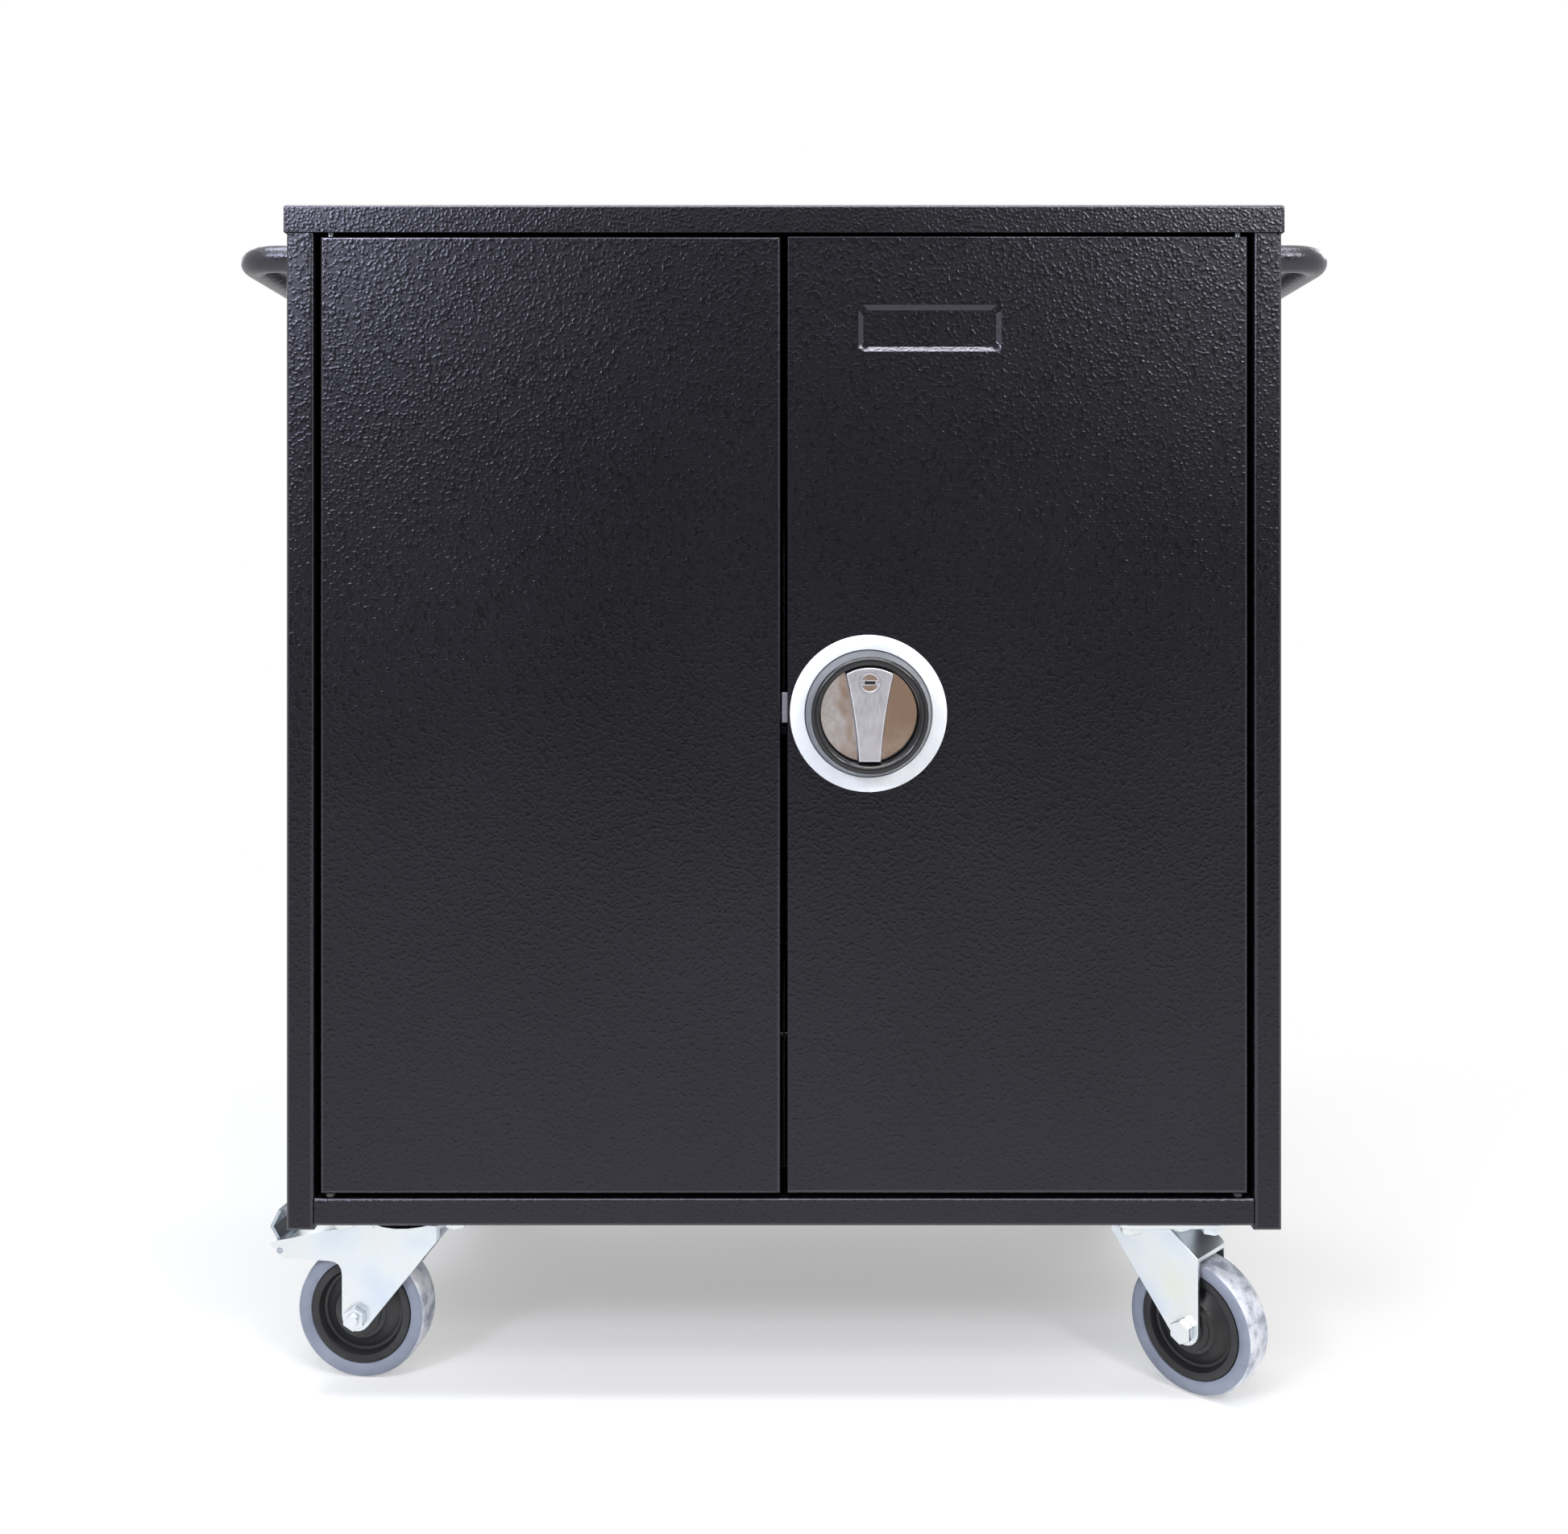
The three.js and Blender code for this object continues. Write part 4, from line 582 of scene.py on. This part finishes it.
def handle(side, name):
    node_name = name + "_push_handle"
    low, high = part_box(node_name)
    radius = (high.z - low.z) / 2
    root = low.x if side > 0 else high.x
    run = (high.x if side > 0 else low.x) - side * radius
    near, far = low.y + radius, high.y - radius
    height = (low.z + high.z) / 2
    bend = [
        (run - side * HANDLE_BEND * (1 - math.sin(a)), HANDLE_BEND * (1 - math.cos(a)))
        for a in (math.pi / 2 * i / BEND_STEPS for i in range(BEND_STEPS + 1))]
    path = [(root, near)] + [(x, near + y) for x, y in bend]
    path += [(x, far - y) for x, y in reversed(bend)] + [(root, far)]
    curve = bpy.data.curves.new(name + "_handle", "CURVE")
    curve.dimensions = "3D"
    line = curve.splines.new("POLY")
    line.points.add(len(path) - 1)
    for point, (x, y) in zip(line.points, path):
        point.co = (x, y, height, 1)
    curve.bevel_depth = radius
    curve.bevel_resolution = TUBE_STEPS
    curve.use_fill_caps = True
    tube = bpy.data.objects.new(name + "_handle", curve)
    scene.collection.objects.link(tube)
    only(tube)
    bpy.ops.object.convert(target="MESH")
    tube = bpy.context.object
    edit(tube)
    bpy.ops.mesh.select_all(action="SELECT")
    bpy.ops.mesh.remove_doubles(threshold=MERGE_GAP)
    bpy.ops.mesh.normals_make_consistent(inside=False)
    done()
    bpy.ops.object.shade_smooth_by_angle(angle=TUBE_ANGLE)
    settle(tube, "cabinet", "powder_coat", [tube_coat], node_name)
    inner = radius - WELD_ROOT
    beads = [turned(f"{name}_bead_{i}", [
        (inner, 0), (radius + WELD_LEG, 0), (radius + WELD_LEG * 0.45, WELD_LEG * 0.4),
        (radius + WELD_LEG * 0.1, WELD_LEG), (inner, WELD_LEG), (inner, 0)],
        (root, y, height), (side, 0, 0), (0, 0, 1), WELD_STEPS) for i, y in enumerate((near, far))]
    settle(joined(beads, name + "_handle_welds"), "cabinet", "powder_coat", [tube_coat])


tube_coat = powder_coat("tube_coat", HANDLE_RELIEF, 0.26, 0.34, HANDLE_GLOSS)
handle(-1, "left")
handle(1, "right")


# Hinge pins: turned zinc-plated pivots at the top and bottom corner of each door.
# They drop through the header above and stand in the base below; the lower pins are given the dark steel
# colour instead of zinc.
PIVOT_EDGE = 0.4 * MM
hinge_zinc = plated("hinge_zinc", 0.25, 0.4, ZINC_BLUE, ZINC_PALE)
for side in ("left", "right"):
    for level in ("upper", "lower"):
        node_name = f"{side}_{level}_hinge_pin"
        pin = copied(node_name, f"{side}_{level}_pivot")
        soften(pin, PIVOT_EDGE, 2, ROUND_ANGLE)
        settle(pin, "cabinet", "hinge_zinc", [hinge_zinc if level == "upper" else dark_steel], node_name)


# Doors: two folded steel pans with the shell's coat.
# The right one has a plain pressed recess near its top and carries the lock.
RECESS_LOW = (65 * MM, 950 * MM)
RECESS_HIGH = (198 * MM, 997 * MM)
RECESS_CORNER = 4 * MM
RECESS_LEAN = 2 * MM


def recess_corner(first, second):
    inside = all(
        RECESS_LOW[0] < v.x < RECESS_HIGH[0] and RECESS_LOW[1] < v.z < RECESS_HIGH[1]
        for v in (first, second))
    return inside and all(abs(a - b) > RECESS_LEAN for a, b in zip(first, second))


def rounded_recess(piece):
    round_edges(piece, recess_corner, RECESS_CORNER)


folded_sheet("left_door", "left_door", 1, 0)
folded_sheet("right_door", "right_door", 1, 0, rounded_recess)


# Lock surround: a pale satin ring on the door, and a dark cup that stands proud of it.
# The cup's flank is bare grey metal and its rounded rim is textured black.
RING_PALE = (0.86, 0.89, 0.93, 1)
RING_DULL = (0.74, 0.77, 0.82, 1)
FLANK_PALE = (0.26, 0.265, 0.285, 1)
FLANK_DULL = (0.18, 0.185, 0.20, 1)
RIM_STEPS = 12
LOCK_STEPS = 144
RING_BAND = 13.2 * MM
RING_BREAK = 0.3 * MM
RING_ROUND = 0.9 * MM
RING_SHOULDER = 0.25 * MM
CUP_RADIUS = 44.5 * MM
CUP_FLOOR = 3 * MM
RIM_RADIUS = 52 * MM
RIM_ROUND = 3.6 * MM
RIM_MARGIN = 0.5 * MM
FOOT_RADIUS = 57.5 * MM
FOOT_LEAN = 0.4 * MM
FOOT_HEIGHT = 1.2 * MM
SPINDLE_BORE = 7.4 * MM
pale_ring = moulded("pale_ring", RING_DULL, RING_PALE, 0.25, 0.4, 700.0, 0.00003)
flank_metal = plated("flank_metal", 0.28, 0.42, FLANK_DULL, FLANK_PALE)
rim_black = moulded("rim_black", BLACK_DEEP, BLACK_WORN, 0.16, 0.28, 480.0, 0.00012)
low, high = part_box("lock_rosette")
lock_axis = Vector(((low.x + high.x) / 2, 0, (low.z + high.z) / 2))
ring_out = (high.x - low.x) / 2
ring_in = ring_out - RING_BAND
ring = turned("lock_ring", [
    (ring_in, high.y), (ring_in, low.y + RING_BREAK), (ring_in + RING_BREAK, low.y),
    (ring_out - RING_ROUND, low.y), (ring_out - RING_SHOULDER, low.y + RING_BREAK),
    (ring_out, low.y + RING_ROUND), (ring_out, high.y), (ring_in, high.y)],
    lock_axis, (0, 1, 0), (0, 0, 1), LOCK_STEPS)
settle(ring, "right_door", "pale_ring", [pale_ring], "lock_rosette")
low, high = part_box("lock_collar")
cup_floor = high.y - CUP_FLOOR
rim_base = low.y + RIM_ROUND
rim_middle, rim_half = (CUP_RADIUS + RIM_RADIUS) / 2, (RIM_RADIUS - CUP_RADIUS) / 2
rim_arc = [
    (rim_middle - rim_half * math.cos(a), rim_base - RIM_ROUND * math.sin(a))
    for a in (math.pi * i / RIM_STEPS for i in range(RIM_STEPS + 1))]
collar = turned("lock_cup", [
    (SPINDLE_BORE, high.y), (SPINDLE_BORE, cup_floor), (CUP_RADIUS, cup_floor), *rim_arc,
    (FOOT_RADIUS - FOOT_LEAN, high.y - FOOT_HEIGHT), (FOOT_RADIUS, high.y), (SPINDLE_BORE, high.y)],
    lock_axis, (0, 1, 0), (0, 0, 1), LOCK_STEPS)
settle(collar, "right_door", "black_plastic", [rim_black, flank_metal], "lock_collar")
for face in collar.data.polygons:
    out = face.center - lock_axis
    out.y = 0
    flank = out.length > RIM_RADIUS - RIM_MARGIN and face.center.y > rim_base
    face.material_index = 1 if flank else 0


# Lock disc, lever and key cylinder: the polished floor of the cup turns with a satin cast grip.
# The plated key cylinder sits in the grip's head, its slot lying across.
# Warm and pale tints for the chrome below: painted reflection of the surroundings.
CHROME_PALE_REFLECTION = (0.80, 0.78, 0.78, 1)
CHROME_WARM_REFLECTION = (0.66, 0.60, 0.56, 1)
SATIN_PALE = (0.80, 0.79, 0.84, 1)
SATIN_DULL = (0.70, 0.69, 0.74, 1)
KEYWAY_SHADE_BLACK = (0.004, 0.004, 0.004, 1)
CHROME_WAVE = 26.0
CHROME_FINE = 260.0
CHROME_RELIEF = 0.0004
SATIN_STRETCH = (1.0, 1.0, 0.06)
SATIN_BRUSH = 1600.0
SATIN_CLOUD = 60.0
SATIN_RELIEF = 0.00003
DISC_EDGE = 0.5 * MM
GRIP_ROUND = 2.0 * MM
GRIP_EDGE = 0.3 * MM
GRIP_ANGLE = 50.0
KEY_RISE = 29 * MM
KEY_CLEAR = 10.2 * MM
BARREL_STEPS = 96
BARREL_EDGE = 0.4 * MM
BARREL_LIP = 1.2 * MM
BARREL_DISH = 2.1 * MM
BARREL_DEPTH = 1.3 * MM
KEY_BAR = 14.4 * MM
KEY_BAR_HEIGHT = 4.6 * MM
KEY_BAR_DEPTH = 1.8 * MM
KEY_BAR_SEAT = 1.1 * MM
KEY_BAR_RIM = 0.8 * MM
KEY_BAR_EDGE = 0.3 * MM
KEY_SLOT = 9.5 * MM
KEY_SLOT_DEPTH = 0.9 * MM
KEY_SLOT_MARGIN = 0.05 * MM
KEY_SLOT_INSET = 0.7 * MM
FACING = 0.9


# The chrome's base colour is painted with wavy warm and pale patches of reflection; the same noise ripples
# its surface.
def painted_reflection_chrome():
    surface, tree, shader, place = new_surface("polished_chrome")
    ripple_and_reflection = noise(tree, place, CHROME_WAVE)
    fine = noise(tree, place, CHROME_FINE, 3.0)
    tree.links.new(
        ramp(tree, ripple_and_reflection, (0.38, CHROME_WARM_REFLECTION), (0.62, CHROME_PALE_REFLECTION)), shader.inputs["Base Color"])
    tree.links.new(spread(tree, fine, 0.05, 0.13, *NOISE_SPAN), shader.inputs["Roughness"])
    shader.inputs["Metallic"].default_value = 1.0
    relief(tree, shader, ripple_and_reflection, CHROME_RELIEF)
    return surface


def satin_steel():
    surface, tree, shader, place = new_surface("satin_steel")
    stretch = tree.nodes.new("ShaderNodeMapping")
    stretch.inputs["Scale"].default_value = SATIN_STRETCH
    tree.links.new(place, stretch.inputs["Vector"])
    brush = noise(tree, stretch.outputs["Vector"], SATIN_BRUSH, 3.0)
    cloud = noise(tree, place, SATIN_CLOUD, 3.0)
    tree.links.new(
        ramp(tree, cloud, (0.35, SATIN_DULL), (0.65, SATIN_PALE)), shader.inputs["Base Color"])
    tree.links.new(spread(tree, brush, 0.3, 0.44, *NOISE_SPAN), shader.inputs["Roughness"])
    shader.inputs["Metallic"].default_value = 1.0
    relief(tree, shader, brush, SATIN_RELIEF)
    return surface


chrome = painted_reflection_chrome()
satin = satin_steel()
# The key slot is a shallow pocket whose faces are painted near-black: painted shade standing in for a deep
# keyway.
slot_painted_shade = moulded("slot_painted_shade", KEYWAY_SHADE_BLACK, BLACK_DEEP, 0.5, 0.7, 900.0, 0.00003)
low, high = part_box("lock_disc")
disc_out = (high.x - low.x) / 2
disc = turned("lock_floor", [
    (SPINDLE_BORE, high.y), (disc_out, high.y), (disc_out, low.y + DISC_EDGE),
    (disc_out - DISC_EDGE, low.y), (0, low.y)], lock_axis, (0, 1, 0), (0, 0, 1), LOCK_STEPS)
settle(disc, "lock_lever", "polished_chrome", [chrome], "lock_disc")
lever = copied("lock_lever", "lock_grip")
low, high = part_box("lock_lever")
key_place = Vector((lock_axis.x, low.y, lock_axis.z + KEY_RISE))
round_edges(lever, lambda first, second: on_plane(first, second, 1, low.y) and min(
    (v - key_place).length for v in (first, second)) > KEY_CLEAR, GRIP_ROUND, 3)
soften(lever, GRIP_EDGE, 2, GRIP_ANGLE)
settle(lever, "lock_lever", "satin_steel", [satin], "lock_lever")
low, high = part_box("key_cylinder")
key_middle = (low + high) / 2
key_out = (high.x - low.x) / 2
dish, dish_floor = key_out - BARREL_DISH, low.y + BARREL_DEPTH
plug = turned("key_barrel", [
    (0, high.y), (key_out, high.y), (key_out, low.y + BARREL_EDGE), (key_out - BARREL_EDGE, low.y),
    (key_out - BARREL_LIP, low.y), (dish, dish_floor), (0, dish_floor)],
    Vector((key_middle.x, 0, key_middle.z)), (0, 1, 0), (0, 0, 1), BARREL_STEPS)
bpy.ops.object.select_all(action="DESELECT")
bpy.ops.mesh.primitive_cube_add(size=1, location=(key_middle.x, low.y + KEY_BAR_SEAT, key_middle.z))
bpy.ops.transform.resize(value=(KEY_BAR, KEY_BAR_DEPTH, KEY_BAR_HEIGHT))
bpy.ops.object.transform_apply(location=True, rotation=True, scale=True)
key_bar = bpy.context.object
front = [face.index for face in key_bar.data.polygons if face.normal.y < -FACING]
edit(key_bar)
bpy.ops.mesh.select_mode(type="FACE")
bpy.ops.mesh.select_all(action="DESELECT")
done()
for index in front:
    key_bar.data.polygons[index].select = True
edit(key_bar)
bpy.ops.mesh.select_mode(type="FACE")
bpy.ops.mesh.inset(thickness=KEY_BAR_RIM)
bpy.ops.transform.resize(
    value=(KEY_SLOT / (KEY_BAR - 2 * KEY_BAR_RIM), 1, 1),
    center_override=(key_middle.x, low.y, key_middle.z))
bpy.ops.mesh.extrude_region_move(TRANSFORM_OT_translate={"value": (0, KEY_SLOT_DEPTH, 0)})
done()
soften(key_bar, KEY_BAR_EDGE)
for surface in (satin, chrome):
    plug.data.materials.append(surface)
for face in plug.data.polygons:
    off = face.center - key_middle
    face.material_index = 1 if math.hypot(off.x, off.z) < dish else 0
# Faces inside the slot take the near-black painted shade.
for surface in (satin, slot_painted_shade):
    key_bar.data.materials.append(surface)
for face in key_bar.data.polygons:
    off = face.center - key_middle
    within = abs(off.x) < KEY_SLOT / 2 + KEY_SLOT_MARGIN
    slot = within and abs(off.z) < KEY_BAR_HEIGHT / 2 - KEY_SLOT_INSET
    face.material_index = 1 if slot and face.center.y > low.y + KEY_SLOT_DEPTH / 2 else 0
key = joined([plug, key_bar], "key_plug")
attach(key, "key_cylinder")
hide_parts("key_cylinder")


# Lock works behind the door: case, cam, two flat rods and the tongue that crosses to the left door.
# Plain zinc-plated steel strip, punched and bent; the tongue's zinc is painted darker as shade.
TONGUE_SHADE_GREY = (0.34, 0.34, 0.40, 1)
TONGUE_SHADE_PALE = (0.44, 0.44, 0.50, 1)
lock_zinc = plated("lock_zinc", 0.26, 0.42, ZINC_BLUE, ZINC_PALE)
# The tongue's darker zinc is painted shade, dimming the lamplight it catches in the gap between the doors.
tongue_painted_shade = plated("tongue_painted_shade", 0.3, 0.45, TONGUE_SHADE_GREY, TONGUE_SHADE_PALE)
for node_name, body in (
        ("lock_case", "right_door"), ("lock_cam", "lock_lever"), ("upper_lock_rod", "upper_lock_rod"),
        ("lower_lock_rod", "lower_lock_rod"), ("latch_tongue", "latch_tongue")):
    works = copied(node_name, node_name + "_zinc")
    soften(works, SHEET_EDGE)
    settle(works, body, "lock_zinc", [tongue_painted_shade if body == "latch_tongue" else lock_zinc], node_name)


# Floor, light and camera: a white sweep, large soft boxes and a level camera before the doors.
# The camera stands a little above the middle of the cart, 1.45 m from the door faces.
# A dark flat behind the camera keeps the doors black, and a two-tone card shows in the lock's disc.
FLOOR_WHITE = (0.93, 0.93, 0.93, 1)
FLOOR_PALE = (0.95, 0.95, 0.95, 1)
FLOOR_SIZE = 60
FLOOR_GAP = 0.4 * MM
FLOOR_LIFT = 0.4
FLOOR_NEAR = 0.55
FLOOR_FAR = 1.5
WORLD_LEVEL = 0.32
PAPER_ROUGH = 0.9
FLAT_DARK = (0.035, 0.035, 0.040, 1)
FLAT_MIDDLE = (0.070, 0.065, 0.064, 1)
FLAT_CENTRE = (0, -4.4, 1.5)
FLAT_SIZE = (6.0, 3.0)
CARD_CENTRE = (0.3, -4.35, 0.31)
CARD_SIZE = (0.7, 0.56)
CARD_PALE = (0.56, 0.56, 0.58, 1)
CARD_WARM = (0.34, 0.235, 0.165, 1)
CAMERA_REACH = 1.45
CAMERA_HEIGHT = 0.734
CAMERA_LENS = 36.97
CAMERA_SENSOR = 36
CAMERA_SHIFT = -0.1105


def seen(tree):
    rays = tree.nodes.new("ShaderNodeLightPath").outputs
    share = rays["Is Camera Ray"]
    for other in ("Is Glossy Ray", "Is Transmission Ray"):
        node = tree.nodes.new("ShaderNodeMath")
        node.operation = "MAXIMUM"
        tree.links.new(share, node.inputs[0])
        tree.links.new(rays[other], node.inputs[1])
        share = node.outputs["Value"]
    return share


def times(tree, first, second):
    node = tree.nodes.new("ShaderNodeMath")
    node.operation = "MULTIPLY"
    tree.links.new(first, node.inputs[0])
    tree.links.new(second, node.inputs[1])
    return node.outputs["Value"]


bpy.ops.object.select_all(action="DESELECT")
bpy.ops.mesh.primitive_plane_add(size=FLOOR_SIZE, location=(0, 0, solid_low.z - FLOOR_GAP))
floor = bpy.context.object
floor.name = "studio_floor"
paper, tree, shader, place = new_surface("studio_paper")
tree.links.new(ramp(
    tree, noise(tree, place, 3.0), (0.0, FLOOR_WHITE), (1.0, FLOOR_PALE)), shader.inputs["Base Color"])
shader.inputs["Roughness"].default_value = PAPER_ROUGH
shader.inputs["Specular IOR Level"].default_value = 0.1
away = tree.nodes.new("ShaderNodeVectorMath")
away.operation = "LENGTH"
tree.links.new(place, away.inputs[0])
fade = spread(tree, away.outputs["Value"], FLOOR_LIFT, 1.0, FLOOR_NEAR, FLOOR_FAR)
glow = tree.nodes.new("ShaderNodeEmission")
sweep = tree.nodes.new("ShaderNodeMixShader")
tree.links.new(times(tree, fade, seen(tree)), sweep.inputs["Fac"])
tree.links.new(shader.outputs["BSDF"], sweep.inputs[1])
tree.links.new(glow.outputs["Emission"], sweep.inputs[2])
tree.links.new(sweep.outputs["Shader"], tree.nodes["Material Output"].inputs["Surface"])
floor.data.materials.append(paper)

world = bpy.data.worlds.new("studio")
world.use_nodes = True
scene.world = world
sky = world.node_tree
back = sky.nodes["Background"]
back.inputs["Color"].default_value = (1, 1, 1, 1)
sky.links.new(spread(sky, seen(sky), WORLD_LEVEL, 1.0), back.inputs["Strength"])


def soft_box(name, location, target, width, height, power, colour=(1, 1, 1)):
    lamp = bpy.data.lights.new(name, "AREA")
    lamp.shape = "RECTANGLE"
    lamp.size = width
    lamp.size_y = height
    lamp.energy = power
    lamp.color = colour
    box = bpy.data.objects.new(name, lamp)
    scene.collection.objects.link(box)
    box.location = location
    box.rotation_euler = (Vector(target) - Vector(location)).to_track_quat("-Z", "Y").to_euler()


soft_box("left_box", (-1.42, -2.4, 1.88), (-0.2, -0.27, 0.8), 0.55, 0.55, 32, (0.84, 0.86, 1.0))
soft_box("right_box", (1.45, -2.4, 2.08), (0.2, -0.27, 0.8), 0.55, 0.55, 28, (1.0, 0.97, 0.96))
soft_box("high_box", (0.0, -2.3, 3.2), (0.0, -0.27, 0.8), 2.4, 0.7, 36)
soft_box("top_box", (0.15, -0.6, 3.0), (0.15, -0.45, 0.6), 2.2, 0.4, 44)
soft_box("back_left_box", (-1.9, 2.3, 2.3), (-0.2, 0.27, 0.7), 1.8, 1.8, 26)
soft_box("back_right_box", (2.3, 1.5, 2.2), (0.3, 0.1, 0.7), 1.0, 1.0, 18)
soft_box("handle_box", (-0.95, -0.5, 2.5), (-0.5, -0.2, 1.0), 0.7, 0.7, 14, (0.86, 0.92, 1.0))


def upright(name, centre, size):
    bpy.ops.object.select_all(action="DESELECT")
    bpy.ops.mesh.primitive_plane_add(size=1, location=centre, rotation=(math.pi / 2, 0, 0))
    bpy.ops.transform.resize(value=(size[0], 1.0, size[1]))
    bpy.ops.object.transform_apply(location=True, rotation=True, scale=True)
    board = bpy.context.object
    board.name = name
    board.visible_camera = False
    surface, tree, shader, place = new_surface(name + "_paint")
    shader.inputs["Base Color"].default_value = FLAT_DARK
    shader.inputs["Roughness"].default_value = PAPER_ROUGH
    shader.inputs["Emission Strength"].default_value = 1.0
    board.data.materials.append(surface)
    return tree, shader, place


tree, shader, place = upright("studio_flat", FLAT_CENTRE, FLAT_SIZE)
tree.links.new(ramp(
    tree, noise(tree, place, 0.9), (0.3, FLAT_DARK), (0.7, FLAT_MIDDLE)), shader.inputs["Emission Color"])
tree, shader, place = upright("studio_card", CARD_CENTRE, CARD_SIZE)
split = tree.nodes.new("ShaderNodeSeparateXYZ")
tree.links.new(place, split.inputs["Vector"])
wavy = added(tree, split.outputs["X"], noise(tree, place, 4.0), 0.2)
tree.links.new(ramp(
    tree, spread(tree, wavy, 0.0, 1.0, 0.1, 0.6), (0.36, CARD_PALE), (0.5, CARD_WARM)),
    shader.inputs["Emission Color"])

camera = bpy.data.cameras.new("camera")
camera.lens = CAMERA_LENS
camera.sensor_width = CAMERA_SENSOR
camera.shift_y = CAMERA_SHIFT
viewpoint = bpy.data.objects.new("camera", camera)
scene.collection.objects.link(viewpoint)
door_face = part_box("left_door")[0].y
viewpoint.location = (0, door_face - CAMERA_REACH, CAMERA_HEIGHT)
viewpoint.rotation_euler = (math.pi / 2, 0, 0)
scene.camera = viewpoint
scene.view_settings.view_transform = "Standard"
